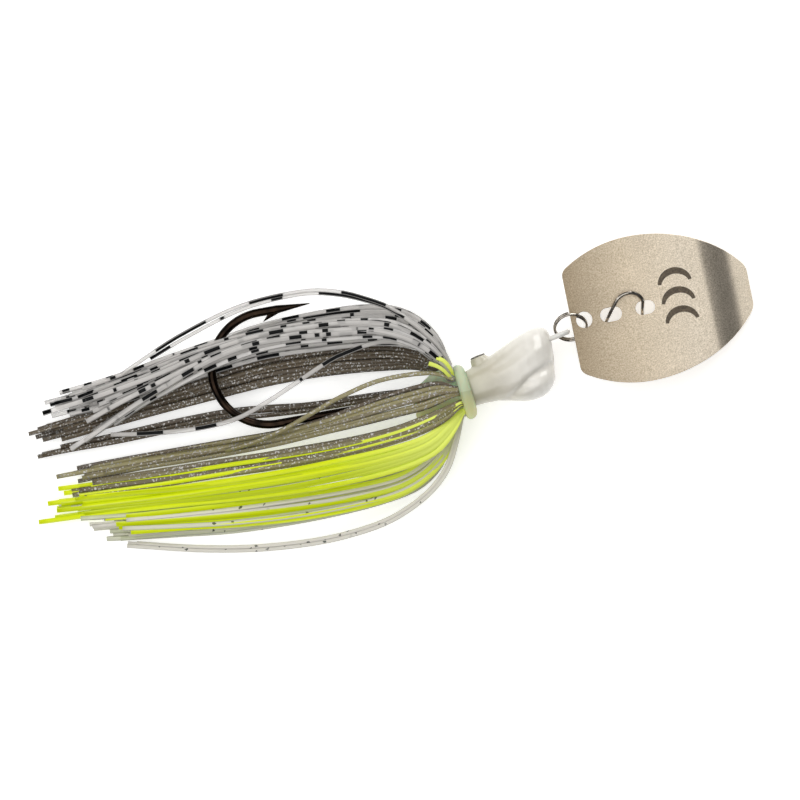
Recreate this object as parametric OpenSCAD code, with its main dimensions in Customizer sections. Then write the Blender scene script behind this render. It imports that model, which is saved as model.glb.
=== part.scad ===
// A skirted bladed jig: a painted lead head cast on a single hook, a split ring, a bent
// steel blade, a line snap and a silicone skirt held by a collar.
// It lies on its side. +X runs along the hook shank towards the blade, +Y towards the hook
// point, and +Z is up from the surface it lies on. All sizes are in millimetres.

/* [Head] */
// Height of the head's mid plane above the surface it lies on
rest_height = 5.5; // [5.5:0.1:6]
// Half of the head's thickness at its widest
head_half_width = 5.1; // [4.6:0.1:5.2]
// Length from the collar's middle to the nose
nose_x = 18.7; // [18.4:0.1:18.9]
// Radius of the spigot that carries the collar
spigot_r = 2.2; // [2:0.1:2.3]
// Radius of the moulded eye beside the neck
eye_bead_r = 1.75; // [1.5:0.05:1.9]

/* [Hook] */
// Diameter of the hook wire
hook_wire_d = 1.6; // [1.5:0.1:1.7]
// Radius of the bend, at the middle of the wire
bend_r = 10.7; // [10.5:0.1:10.9]
// Distance from the collar's middle to the centre of the bend
bend_x = 35.2; // [34.5:0.1:36]
// Length of the straight point section, from the bend to the tip
point_length = 10; // [9:0.5:10.5]
// Inner radius of the eye
eye_inner_r = 1.45; // [1.45:0.05:1.5]
// Wire diameter of the eye
eye_wire_d = 1.0; // [0.9:0.05:1]

/* [Split ring] */
// Radius of the ring at the middle of its wire
ring_r = 3.05; // [3:0.01:3.1]
// Diameter of its wire, which makes two turns
ring_wire_d = 0.5; // [0.45:0.01:0.5]

/* [Blade] */
// Length of the blade as seen from above
blade_length = 35.3; // [34.5:0.1:36]
// Half width at its square end
blade_half_root = 9.7; // [9:0.1:10]
// Half width at its widest
blade_half_width = 13.9; // [13.5:0.1:14]
// Sheet thickness
blade_t = 0.6; // [0.5:0.05:0.6]
// Length of the flat part, before the bend
blade_flat = 26; // [25:0.5:27]
// Angle of the bent lip
lip_angle = 45; // [40:1:45]
// Radius of the lip's bend
lip_r = 9; // [8:0.5:9.5]

/* [Snap] */
// Diameter of the snap wire
snap_wire_d = 0.66; // [0.6:0.02:0.66]
// Angle between the snap and the blade
snap_tilt = 35.5; // [35:0.5:38]

/* [Skirt] */
// Outer radius of the collar's flange
flange_r = 5.35; // [5.2:0.05:5.4]
// Thickness of the flange
flange_t = 1.7; // [1.5:0.1:1.7]
// Outer radius of the sleeve behind the flange
sleeve_r = 3.5; // [3.3:0.05:3.5]
// Length of the sleeve, from the flange's front
sleeve_length = 10; // [8:0.5:10]
// Distance of the skirt's roots from the collar's axis
root_r = 4.45; // [4.4:0.05:4.5]

/* [Hidden] */

pearl_white = "#e6e3dc";
black_nickel = "#2a2421";
bright_nickel = "#c9c8c4";
satin_steel = "#c4b69e";
pale_green = "#b9c890";
barred_clear = "#b9b4b0";
smoke = "#6b5f55";
chartreuse = "#cde114";
pearl_silicone = "#d8d0c4";

// The hook shank runs this far above the x axis, and the collar leans by this angle
shank_y = 0.3;
collar_y = -0.15;
collar_lean = 7;
collar_front = 1.4;
spigot_end = -4;

// The eye of the hook stands upright, and its axis leans with the bent front of the shank
eye_lean = 11;
eye_ring_r = eye_inner_r + eye_wire_d / 2;
eye_centre = [20.15, 7.23, 0];
kink_x = 5;
kink_angle = 26;
kink_r = 8;

// The split ring hangs between the eye and the blade
ring_centre = [22.78, 8.4, 0.74];
ring_tilt = 40;
ring_turns = 1.92;
ring_gap = 0.02;

// The blade's own frame has its origin in the first hole
blade_place = [25.52, 9.28, 1.6];
blade_yaw = 1.2;
blade_pitch = 2.3;
hole_1_s = 2.5;
hole_1_r = 1.55;
widest_s = 13.5;
hole_2 = [5.2, 4.2, 2.7];
hole_3 = [11.85, 3.8, 2.6];

// ---------------------------------------------------------------- helpers

function unit(v) = v / norm(v);

// A smooth curve through a list of points of any size, with steps points to each span
function curve_point(a, b, c, d, t) =
  0.5 * (2 * b + (c - a) * t + (2 * a - 5 * b + 4 * c - d) * t * t + (3 * b - a - 3 * c + d) * t * t * t);

function smooth(p, steps) = [
  for (i = [0:len(p) - 2])
    let (a = i > 0 ? p[i - 1] : 2 * p[0] - p[1], d = i < len(p) - 2 ? p[i + 2] : 2 * p[i + 1] - p[i])
      for (k = [0:steps - 1]) curve_point(a, p[i], p[i + 1], d, k / steps),
  p[len(p) - 1]
];

function tangent(p, i) = unit(p[min(i + 1, len(p) - 1)] - p[max(i - 1, 0)]);

// The corners of one oval section, square to the path
function section(at, along, up, half, sides) =
  let (side = unit(cross(up, along)), top = cross(along, side))
    [for (k = [0:sides - 1]) at + side * half[0] * cos(360 * k / sides) + top * half[1] * sin(360 * k / sides)];

// A closed tube along a path, from a half width and a half height at each point
module sweep(path, halves, up, sides) {
  n = len(path);
  points = [for (i = [0:n - 1]) each section(path[i], tangent(path, i), up, halves[i], sides)];
  walls = [
    for (i = [0:n - 2], k = [0:sides - 1])
      let (a = i * sides + k, b = i * sides + (k + 1) % sides)
        each [[a, b, b + sides], [a, b + sides, a + sides]]
  ];
  first = [for (k = [sides - 1:-1:0]) k];
  last = [for (k = [0:sides - 1]) (n - 1) * sides + k];
  polyhedron(points, concat(walls, [first, last]), convexity = 6);
}

// A wire of round section
module wire(path, d, up, sides = 12) {
  sweep(path, [for (p = path) [d / 2, d / 2]], up, sides);
}

// ---------------------------------------------------------------- head

// Outline of the head at each station: x, upper y, lower y, half width
head_stations = [
  [spigot_end, spigot_r + collar_y, collar_y - spigot_r, spigot_r],
  [collar_front - 0.4, spigot_r + collar_y, collar_y - spigot_r, spigot_r],
  [collar_front + 0.25, spigot_r + collar_y, collar_y - spigot_r, spigot_r],
  [collar_front + 0.3, 3.3, -3.1, 3.1],
  [collar_front + 0.7, 3.75, -3.1, 3.4],
  [4.2, 4.6, -2.95, 3.7],
  [6.8, 5.8, -2.9, 4.3],
  [9.3, 7.0, -3.4, 4.8],
  [11.5, 8.1, -3.9, head_half_width],
  [13.4, 8.85, -4.0, head_half_width],
  [15.2, 9.45, -3.7, 4.75],
  [16.6, 9.6, -2.95, 4.0],
  [17.6, 9.3, -1.8, 3.0],
  [18.2, 8.8, -0.6, 2.0],
  [nose_x - 0.25, 8.1, 1.2, 1.2],
  [nose_x, 7.4, 2.9, 0.5]
];
head_sides = 40;
collar_shear = tan(collar_lean);

// Depth of the groove between the upper body and the lower lobe, strongest near the nose
function groove(x, across) =
  let (middle = -3.6 + 0.52 * (x - 8), strength = min(1, max(0, (x - 8) / 6)))
    0.55 * strength * exp(-pow((across - middle) / 0.75, 2));

// One point of a section: rounder than an ellipse, with the groove cut in on both sides
function head_point(s, angle) =
  let (
    centre = (s[1] + s[2]) / 2,
    height = (s[1] - s[2]) / 2,
    power = 0.88,
    cy = cos(angle),
    cz = sin(angle),
    y = centre + height * sign(cy) * pow(abs(cy), power),
    z = s[3] * sign(cz) * pow(abs(cz), power),
    cut = groove(s[0], y) * abs(cz),
    lean = s[0] < 4 ? collar_shear * (1 - max(0, s[0] - 2) / 2) * (y - collar_y) : 0
  )
    [s[0] - (s[0] > spigot_end ? lean : 0), y, z - sign(cz) * min(cut, abs(z) * 0.5)];

module jig_head() {
  n = len(head_stations);
  points = [for (s = head_stations, k = [0:head_sides - 1]) head_point(s, 360 * k / head_sides)];
  walls = [
    for (i = [0:n - 2], k = [0:head_sides - 1])
      let (a = i * head_sides + k, b = i * head_sides + (k + 1) % head_sides)
        each [[a, b + head_sides, b], [a, a + head_sides, b + head_sides]]
  ];
  back = [for (k = [0:head_sides - 1]) k];
  front = [for (k = [head_sides - 1:-1:0]) (n - 1) * head_sides + k];
  color(pearl_white) in_place() polyhedron(points, concat(walls, [back, front]), convexity = 6);
}

// The moulded eye: a low domed button set into the side of the neck
module head_eye() {
  color(pearl_white) in_place() translate([4.75, 4.4, 0]) rotate([-90, 0, 12])
    rotate_extrude($fn = 48) polygon([
      [0, -0.6], [eye_bead_r, -0.6], [eye_bead_r, 1.1], [eye_bead_r - 0.15, 1.5],
      [eye_bead_r - 0.5, 1.8], [eye_bead_r - 1, 1.95], [0, 2]
    ]);
}

// ---------------------------------------------------------------- hook

// The tip tapers from full wire over this length, and the barb lifts from the inner side
taper = 6.3;
elbow_inset = 0.02;
barb_root = [-32.6, 21.3];
barb_tip = [-34.4, 19.9];
kink_centre = [kink_x, shank_y + kink_r, 0];
kink_end = [kink_x + kink_r * sin(kink_angle), shank_y + kink_r * (1 - cos(kink_angle)), 0];

module hook() {
  r = hook_wire_d / 2;
  point_y = shank_y + 2 * bend_r;
  eye_foot = eye_centre - [eye_ring_r * cos(eye_lean), eye_ring_r * sin(eye_lean), 0];
  neck = eye_foot - kink_end;
  color(black_nickel) in_place() {
    // shank
    translate([-bend_x, shank_y, 0]) rotate([0, 90, 0]) cylinder(r = r, h = bend_x + kink_x, $fn = 32);
    // bend
    translate([-bend_x, shank_y + bend_r, 0]) rotate([0, 0, 90])
      rotate_extrude(angle = 180, $fn = 96) translate([bend_r, 0]) circle(r = r, $fn = 32);
    // point section, straight and then tapered
    translate([-bend_x, point_y, 0]) rotate([0, 90, 0]) {
      cylinder(r = r, h = point_length - taper, $fn = 32);
      translate([0, 0, point_length - taper]) cylinder(r1 = r, r2 = 0.08, h = taper, $fn = 32);
    }
    // barb
    hull() {
      translate([barb_root[0], barb_root[1], 0]) sphere(r = 0.42, $fn = 16);
      translate([barb_root[0] + 1.2, barb_root[1] - 0.1, 0]) sphere(r = 0.3, $fn = 16);
      translate([barb_tip[0], barb_tip[1], 0]) sphere(r = 0.08, $fn = 12);
    }
    // kink and the bent front of the shank, hidden in the head
    translate(kink_centre) rotate([0, 0, -90])
      rotate_extrude(angle = kink_angle, $fn = 96) translate([kink_r, 0]) circle(r = r, $fn = 32);
    translate(kink_end) rotate([0, 90, atan2(neck[1], neck[0])]) cylinder(r = r, h = norm(neck), $fn = 32);
    // a ball just under the wire's size closes the elbow
    translate(kink_end) sphere(r = r - elbow_inset, $fn = 32);
    // eye
    translate(eye_centre) rotate([90, 0, eye_lean])
      rotate_extrude($fn = 64) translate([eye_ring_r, 0]) circle(r = eye_wire_d / 2, $fn = 24);
  }
}

// ---------------------------------------------------------------- split ring

ring_up = [0, -sin(ring_tilt), cos(ring_tilt)];

function ring_point(turn) =
  let (a = 90 + 360 * turn, rise = (turn - ring_turns / 2) * (ring_wire_d + ring_gap))
    ring_centre + ring_r * [cos(a), sin(a) * cos(ring_tilt), sin(a) * sin(ring_tilt)] + rise * ring_up;

module split_ring() {
  steps = 72;
  color(bright_nickel) in_place()
    wire([for (i = [0:steps]) ring_point(ring_turns * i / steps)], ring_wire_d, ring_up, 10);
}

// ---------------------------------------------------------------- blade

// Half width of the blade at a distance s from its square end: two arcs that meet at its widest
front_rise = blade_half_width - blade_half_root;
front_arc = (widest_s * widest_s + front_rise * front_rise) / (2 * front_rise);
back_arc = 29;

function half_width(s) =
  let (r = s < widest_s ? front_arc : back_arc)
    blade_half_width - r + sqrt(r * r - (s - widest_s) * (s - widest_s));

// A corner rounded between two points
function round_corner(a, c, b) =
  [for (i = [0:5]) let (t = i / 5) (1 - t) * (1 - t) * a + 2 * t * (1 - t) * c + t * t * b];

module blade_outline() {
  edge = [for (i = [0:22]) let (s = 1 + (blade_length - 2) * i / 22) [s, half_width(s)]];
  square_corner = round_corner([0, blade_half_root - 1], [0, blade_half_root], [1, half_width(1)]);
  end_half = half_width(blade_length) - 0.3;
  end_corner = round_corner(edge[22], [blade_length, end_half + 0.3], [blade_length, end_half - 0.7]);
  side = concat(square_corner, [for (i = [1:21]) edge[i]], end_corner);
  polygon(concat(side, [for (i = [len(side) - 1:-1:0]) [side[i][0], -side[i][1]]]));
}

// The bent sheet, seen from its edge: flat, round the bend, and flat to the lip's end
module blade_profile() {
  bend_end = [blade_flat + lip_r * sin(lip_angle), lip_r * (cos(lip_angle) - 1)];
  run = blade_length + 1 - bend_end[0];
  function sheet(gap) = [
    [-1, gap],
    for (i = [0:9]) let (a = lip_angle * i / 9, r = lip_r + gap)
      [blade_flat + r * sin(a), r * cos(a) - lip_r],
    bend_end + [run + gap * sin(lip_angle), gap * cos(lip_angle) - run * tan(lip_angle)]
  ];
  upper = sheet(blade_t / 2);
  lower = sheet(-blade_t / 2);
  polygon(concat(upper, [for (i = [len(lower) - 1:-1:0]) lower[i]]));
}

// A slot with round ends, given as [distance from the first hole, length, width]
module slot(h) {
  for (side = [-1, 1])
    translate([h[0] + side * (h[1] - h[2]) / 2, 0, -5]) cylinder(d = h[2], h = 10, $fn = 40);
  translate([h[0] - (h[1] - h[2]) / 2, -h[2] / 2, -5]) cube([h[1] - h[2], h[2], 10]);
}

module on_blade() {
  in_place() translate(blade_place) rotate([0, blade_pitch, blade_yaw]) children();
}

module blade() {
  color(satin_steel) on_blade() difference() {
    translate([-hole_1_s, 0, 0]) intersection() {
      translate([0, 0, -12]) linear_extrude(16) blade_outline();
      translate([0, 20, 0]) rotate([90, 0, 0]) linear_extrude(40) blade_profile();
    }
    translate([0, 0, -5]) cylinder(r = hole_1_r, h = 10, $fn = 48);
    slot(hole_2);
    slot(hole_3);
  }
}

// ---------------------------------------------------------------- snap

// Places along the blade (u) and across it in the snap's own plane (q). q = 0 is the blade.
loop_centre = [8.83, 1.35];
loop_r = 2.7;
loop_end = 149;
tail_centre = [7.6, -8.2];
tail_r = 2.4;
leg_foot = [10.95, -5.4];
latch_gap = 0.15;

function on_arc(centre, r, from, to, steps) =
  [for (i = [0:steps]) let (a = from + (to - from) * i / steps) centre + r * [cos(a), sin(a)]];

function snap_path() = concat(
  [leg_foot, [10.95, -4], [11.1, -2], [11.3, 0]],
  on_arc(loop_centre, loop_r, 0, loop_end, 12),
  [[4.87, 0], [3.95, -1.6], [3.6, -2.8], [3.75, -4.4], [4.4, -6.4]],
  on_arc(tail_centre, tail_r, 180, 360, 12)
);

latch_path = smooth([
  [tail_centre[0] + tail_r, tail_centre[1] + latch_gap, 0],
  [10.05, -7, 0],
  [10.2, -6.2, 0.15],
  [10.55, -5.2, 0.85],
  [11.1, -4.6, 0.95],
  [11.75, -4.5, 0.9]
], 4);

module in_snap() {
  on_blade() rotate([snap_tilt, 0, 0]) children();
}

module snap_body() {
  path = smooth([for (p = snap_path()) [p[0], p[1], 0]], 2);
  color(bright_nickel) in_snap() wire(path, snap_wire_d, [0, 0, 1], 10);
}

module snap_latch() {
  color(bright_nickel) in_snap() wire(latch_path, snap_wire_d, [0, 0, 1], 10);
}

// ---------------------------------------------------------------- skirt collar

bore_r = 2.75;

// Silicone band: a round-edged flange in front and a plain sleeve behind, open from end to end
module skirt_collar() {
  edge = flange_t / 2;
  color(pale_green) in_place() translate([collar_front - edge, collar_y, 0]) rotate([0, 0, collar_lean])
    rotate([0, 90, 0]) difference() {
      union() {
        cylinder(r = flange_r - edge, h = flange_t, center = true, $fn = 72);
        rotate_extrude($fn = 72) translate([flange_r - edge, 0]) circle(r = edge, $fn = 24);
        translate([0, 0, edge - sleeve_length]) cylinder(r = sleeve_r, h = sleeve_length - edge, $fn = 60);
      }
      translate([0, 0, -sleeve_length]) cylinder(r = bore_r, h = sleeve_length + flange_t + 1, $fn = 60);
    }
}

// ---------------------------------------------------------------- skirt locks

// Each lock is the outer shape of one bundle of strands. Its route is a list of points
// chosen by hand: x, y, z, half width and half height. The root's angle is counted
// round the collar from +Y towards +Z. The roots follow the leaning back of the flange.
root_x = -0.8;

function root(angle, a, b) =
  let (x = root_x - root_r * cos(angle) * tan(collar_lean))
    [
      [x, root_r * cos(angle) + collar_y, root_r * sin(angle), a, b],
      [x - 0.7, (root_r + 0.15) * cos(angle) + collar_y, (root_r + 0.15) * sin(angle), a, b]
    ];

barred_back = concat(root(0, 0.6, 1.45), [
  [-3, 8.8, -0.2, 1.6, 2.3], [-5.8, 11.9, -0.6, 3, 2.5], [-10, 14.4, -1.4, 4, 2], [-16, 15.7, -2.6, 4.3, 1.5],
  [-25, 16.3, -3.9, 4.1, 1.2], [-35, 16.3, -4, 3.4, 1.2], [-45, 15, -4.2, 3, 1.1], [-55, 13.5, -4.2, 3, 1.1],
  [-66, 11.8, -4.2, 2.7, 1.1], [-73, 11.3, -4.3, 2, 1]
]);
barred_over = concat(root(46, 0.9, 0.85), [
  [-3.4, 7.4, 4.9, 1.3, 0.8], [-7, 11.6, 5.8, 1.8, 0.7], [-12, 14.6, 6.1, 2, 0.7], [-20, 16, 5.9, 2, 0.7],
  [-30, 16.6, 5, 2, 0.7], [-38, 16.5, 3.8, 1.9, 0.7], [-45, 16, 2.5, 1.8, 0.7], [-52, 14.8, 0.9, 1.7, 0.7],
  [-60, 13, -1.6, 1.6, 0.6], [-68, 11.5, -2.3, 1.3, 0.5]
]);
smoke_back = concat(root(-44, 0.85, 0.85), [
  [-3.5, 5, -3.7, 1, 0.9], [-7, 7, -3.9, 1.4, 1], [-12, 8.2, -3.9, 1.8, 1.1], [-20, 9.2, -4, 1.9, 1.2],
  [-28, 9.7, -4, 1.9, 1.2], [-36, 10, -4, 2.2, 1.2], [-44, 9.2, -4.1, 2.2, 1.1], [-54, 8, -4.2, 1.8, 1.1],
  [-64, 7.4, -4.2, 1.2, 1], [-78, 6.6, -4.4, 1, 0.9]
]);
smoke_middle = concat(root(-88, 1, 0.6), [
  [-5, 1, -4.5, 1, 0.7], [-10, 1.6, -4.3, 1, 0.9], [-16, 2, -4, 0.9, 1], [-28, 2.3, -3.9, 1, 1.1],
  [-36, 3, -3.9, 1.3, 1.1], [-44, 3.6, -4, 1.4, 1.1], [-54, 3.5, -4.1, 1.4, 1.1], [-66, 3, -4.2, 1.3, 1],
  [-76, 2.8, -4.3, 0.9, 0.9], [-82, 2.7, -4.4, 0.6, 0.8]
]);
smoke_side = concat(root(85, 1.1, 0.6), [
  [-4, 0.8, 4.9, 1.7, 0.6], [-8, 0.6, 4.8, 2.1, 0.7], [-14, -0.1, 4.2, 2, 0.7], [-20, -1, 3.2, 1.8, 0.7],
  [-25, -1.7, 2.1, 1.5, 0.7], [-30, -2.2, 0.4, 1.2, 0.8], [-36, -2.4, -1.8, 1.2, 0.9], [-44, -2.4, -3.6, 1.5, 0.9],
  [-54, -2.3, -4.2, 1.7, 1], [-66, -2.3, -4.3, 1.7, 1], [-76, -2.4, -4.4, 0.9, 0.9]
]);
smoke_belly = concat(root(117, 0.95, 0.65), [
  [-4, -3.6, 4.7, 1.2, 0.6], [-9, -4.7, 4.4, 1.4, 0.7], [-15, -5.4, 3.4, 1.5, 0.8], [-24, -6.1, 1.6, 1.6, 0.9],
  [-36, -6.3, -1.2, 1.6, 0.9], [-47, -6.2, -3.2, 1.6, 1], [-60, -6, -4.2, 1.4, 1], [-75, -5.2, -4.4, 1.2, 0.9]
]);
chartreuse_top = concat(root(146, 0.75, 0.8), [
  [-3.2, -6.1, 3.6, 1.1, 0.9], [-7, -8.6, 4.2, 1.7, 0.9], [-12, -9.9, 3.7, 2, 0.9], [-20, -10.7, 2.5, 2.3, 0.9],
  [-32, -11, 0.5, 2.5, 0.9], [-45, -10.6, -1.8, 2.4, 0.9], [-58, -9.8, -3.2, 2, 0.9], [-70, -8.9, -4, 1.7, 0.9],
  [-79, -8.3, -4.3, 1.2, 0.9]
]);
pearl_keel = concat(root(177, 0.6, 0.95), [
  [-2.6, -9, -0.3, 0.9, 1], [-5.4, -14, -0.6, 1, 1], [-10, -18, -1, 1, 0.9], [-17, -21.2, -1.6, 1, 0.9],
  [-24.5, -22.6, -2.4, 1, 0.9], [-33, -23, -3.2, 1, 0.8], [-43.6, -22.3, -4, 1, 0.8], [-54, -20.6, -4.4, 1, 0.8],
  [-64, -18.2, -4.5, 0.9, 0.8], [-68, -17, -4.5, 0.8, 0.8]
]);
chartreuse_low = concat(root(207, 0.7, 0.8), [
  [-3.6, -8.2, -2.3, 1.2, 0.9], [-7.6, -12, -1.6, 1.7, 1], [-13, -14.6, -1, 2, 1], [-20, -15.8, -1.3, 2.3, 0.9],
  [-32, -16, -2, 2.5, 0.8], [-45, -15.4, -2.5, 2.4, 0.8], [-58, -14.2, -2.7, 2.1, 0.8], [-72, -12.6, -2.9, 1.4, 0.7]
]);
pearl_belly = concat(root(237, 0.85, 0.75), [
  [-4.4, -5.6, -4.5, 1.3, 0.7], [-9, -9.8, -4.6, 2, 0.7], [-15, -13.6, -4.7, 2.8, 0.7], [-28, -16.2, -4.7, 3.1, 0.7],
  [-45, -16, -4.7, 3.1, 0.7], [-58, -14.6, -4.7, 2.8, 0.7], [-69, -13.2, -4.7, 2, 0.7]
]);

// Single strands that have sprung away from their locks: x, y, z
barred_high_route = [
  [-0.8, 5.4, 1.45], [-2, 8.6, 3.4], [-6, 14, 4], [-10, 17.9, 3.6], [-13.6, 20.2, 3.1], [-19.5, 22.9, 2.2],
  [-26.6, 24.2, 1.2], [-38.3, 23.6, -0.6], [-50.5, 20.2, -2.4], [-60, 16.2, -2.7], [-63, 14.8, -2.6]
];
barred_cross_route = [
  [-0.8, 4.6, 2.3], [-2.4, 6.2, 2.75], [-6, 9.4, 3.2], [-12.8, 12, 3.6], [-20.8, 11, 3.8], [-25, 9.6, 3.7],
  [-30.5, 7.2, 3.4], [-36.4, 4.7, 3.2], [-42.3, 2.7, 2.4], [-48.2, 2.1, 0.4], [-54.3, 2.3, -1.8], [-58.5, 2.3, -2.4]
];
smoke_cross_route = [
  [-0.8, 2.5, 4.75], [-5.3, 4.6, 5], [-14.4, 4.9, 4.7], [-22.3, 3.2, 3.9], [-28.1, 1.2, 2.9], [-34, -0.9, 1.3],
  [-39.9, -2.3, -0.9]
];
strand_half = [0.45, 0.3];
lock_sides = 10;
lock_steps = 2;

function route(rows) = smooth([for (r = rows) [r[0], r[1], r[2]]], lock_steps);
function halves(rows) = smooth([for (r = rows) [r[3], r[4]]], lock_steps);

module lock(rows) {
  in_place() sweep(route(rows), halves(rows), [0, 0, 1], lock_sides);
}

module strand(rows) {
  path = smooth(rows, lock_steps);
  in_place() sweep(path, [for (p = path) strand_half], [0, 0, 1], 6);
}

// ---------------------------------------------------------------- place of the whole lure

// The row's origin is below the middle of the whole lure's box: the skirt's longest lock,
// the blade's lip, the keel strands and the high strand set it.
lip_drop = -(lip_r * (1 - cos(lip_angle)) + (blade_length - blade_flat - lip_r * sin(lip_angle)) * tan(lip_angle));
blade_end_x = blade_place[0]
  + cos(blade_yaw) * (cos(blade_pitch) * (blade_length - hole_1_s) + sin(blade_pitch) * lip_drop)
  + sin(blade_yaw) * (half_width(blade_length) - 1);
low_x = smoke_middle[len(smoke_middle) - 1][0];
low_y = min([for (r = pearl_keel) r[1]]) - 1;
high_y = max([for (r = barred_high_route) r[1]]) + strand_half[0];
middle = [(low_x + blade_end_x) / 2, (low_y + high_y) / 2];

module in_place() {
  translate([-middle[0], -middle[1], rest_height]) children();
}

jig_head();
head_eye();
hook();
split_ring();
blade();
snap_body();
snap_latch();
skirt_collar();
color(barred_clear) lock(barred_back);  // skirt_barred_back
color(barred_clear) lock(barred_over);  // skirt_barred_over
color(smoke) lock(smoke_back);  // skirt_smoke_back
color(smoke) lock(smoke_middle);  // skirt_smoke_middle
color(smoke) lock(smoke_side);  // skirt_smoke_side
color(smoke) lock(smoke_belly);  // skirt_smoke_belly
color(chartreuse) lock(chartreuse_top);  // skirt_chartreuse_top
color(chartreuse) lock(chartreuse_low);  // skirt_chartreuse_low
color(pearl_silicone) lock(pearl_belly);  // skirt_pearl_belly
color(pearl_silicone) lock(pearl_keel);  // skirt_pearl_keel
color(barred_clear) strand(barred_high_route);  // strand_barred_high
color(barred_clear) strand(barred_cross_route);  // strand_barred_cross
color(smoke) strand(smoke_cross_route);  // strand_smoke_cross
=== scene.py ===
# %% [markdown]
# # A skirted bladed jig
# The lure is a painted lead head cast on a hook, with a steel blade hung in front of it and a
# silicone skirt held on behind it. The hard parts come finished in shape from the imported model.
# Here they get their surfaces, and the skirt is grown strand by strand, because a skirt is all
# about thin strips that overlap, and no solid can show that.

import math
import random

import bmesh
import bpy
import numpy as np
from mathutils import Matrix, Vector


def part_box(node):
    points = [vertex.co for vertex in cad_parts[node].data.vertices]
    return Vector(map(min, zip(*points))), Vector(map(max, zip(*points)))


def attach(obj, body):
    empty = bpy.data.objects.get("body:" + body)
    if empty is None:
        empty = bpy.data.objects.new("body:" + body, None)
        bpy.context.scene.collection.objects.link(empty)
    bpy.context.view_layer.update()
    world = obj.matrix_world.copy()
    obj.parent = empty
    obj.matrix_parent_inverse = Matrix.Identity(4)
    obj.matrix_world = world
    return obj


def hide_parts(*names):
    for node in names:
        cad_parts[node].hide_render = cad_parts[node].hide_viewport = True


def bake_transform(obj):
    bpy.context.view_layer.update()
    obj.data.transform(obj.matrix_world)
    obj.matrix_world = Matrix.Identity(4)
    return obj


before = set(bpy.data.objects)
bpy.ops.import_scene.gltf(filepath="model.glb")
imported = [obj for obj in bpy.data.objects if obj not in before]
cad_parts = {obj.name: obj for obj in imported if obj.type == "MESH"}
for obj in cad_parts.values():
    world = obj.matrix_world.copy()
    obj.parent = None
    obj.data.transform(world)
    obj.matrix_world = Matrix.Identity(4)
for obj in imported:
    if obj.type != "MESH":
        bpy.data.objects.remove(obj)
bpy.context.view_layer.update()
scene = bpy.context.scene

# %% [markdown]
# ## One origin for everything
# It is easiest to think about this lure from the middle of its collar, with x along the hook
# and y across it, in millimetres. One small function turns such a place into a place in the
# model, in metres. The collar's own box is printed, measured from that origin. The
# collar leans a little on the neck, and its middle lies just off the x axis.

# %% Measure from the collar
COLLAR_ORIGIN = Vector((11.937, -0.325, 5.5))
COLLAR_LEAN = math.radians(7)
NECK_Y = -0.15


def place(x, y, z):
    return (Vector((x, y, z)) + COLLAR_ORIGIN) / 1000


low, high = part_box("skirt_collar")
print("collar, measured from its origin:", [round(1000 * v - o, 1) for v, o in zip(low, COLLAR_ORIGIN)],
      [round(1000 * v - o, 1) for v, o in zip(high, COLLAR_ORIGIN)])

# %% [markdown]
# ## The camera
# The lure lies on a table and is seen from straight above, turned a little. A real product
# shot is taken from far away with a long lens, so that nothing looks stretched. A lens of
# about 210 mm from 0.9 m away gives the same flat look.

# %% Place the camera
TURN = math.radians(-10.3)
CAMERA_HEIGHT = 0.9
SEEN_WIDTH = 0.152
LURE_MIDDLE = (0.00036, 0.00024)

camera_data = bpy.data.cameras.new("long_lens")
camera_data.sensor_width = 36
camera_data.lens = 36 * CAMERA_HEIGHT / SEEN_WIDTH
camera_data.clip_start = 0.01
camera = bpy.data.objects.new("camera", camera_data)
camera.location = (*LURE_MIDDLE, CAMERA_HEIGHT + COLLAR_ORIGIN.z / 1000)
camera.rotation_euler = (0, 0, TURN)
scene.collection.objects.link(camera)
scene.camera = camera
print("lens:", round(camera_data.lens), "mm")

# %% [markdown]
# ## Colours and nodes
# Paint charts give colours as sRGB hex, and shaders want linear light, so one function turns
# the first into the second. A second one adds a node: a socket given a plain value keeps it,
# and a socket given another node's output is linked to it. Two more start an empty material
# and give a plain grey.

# %% Helpers for every material


def linear(code):
    values = [int(code[i:i + 2], 16) / 255 for i in (1, 3, 5)]
    return tuple(v / 12.92 if v <= 0.04045 else ((v + 0.055) / 1.055) ** 2.4 for v in values) + (1,)


def add(material, kind, sockets=(), stops=(), **settings):
    tree = material.node_tree
    made = tree.nodes.new(kind)
    for name, value in settings.items():
        setattr(made, name, value)
    for name, value in dict(sockets).items():
        if isinstance(value, bpy.types.NodeSocket):
            tree.links.new(value, made.inputs[name])
        else:
            made.inputs[name].default_value = value
    for i, (position, colour) in enumerate(stops):
        if i > 1:
            made.color_ramp.elements.new(position)
        made.color_ramp.elements[i].position = position
        made.color_ramp.elements[i].color = colour
    return made


def new_material(name):
    material = bpy.data.materials.new(name)
    material.use_nodes = True
    material.node_tree.nodes.clear()
    return material


def grey(value):
    return (value, value, value, 1)


print("mid grey is", round(linear("#808080")[0], 3), "in linear light")

# %% [markdown]
# ## From a form to a piece
# Bmesh is the clay of Blender: points and faces are put together in a form, and the form is
# written into a mesh when it is done. Every piece made from a form ends in the same way, so
# one function does that. A turned piece is a row of rings, each joined to the next and the
# last one to the first, which closes it like a ring doughnut.

# %% Helpers for every piece


def show(name, mesh):
    piece = bpy.data.objects.new(name, mesh)
    scene.collection.objects.link(piece)
    return piece


def piece_from(name, form):
    mesh = bpy.data.meshes.new(name)
    form.to_mesh(mesh)
    form.free()
    return show(name, mesh)


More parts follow.
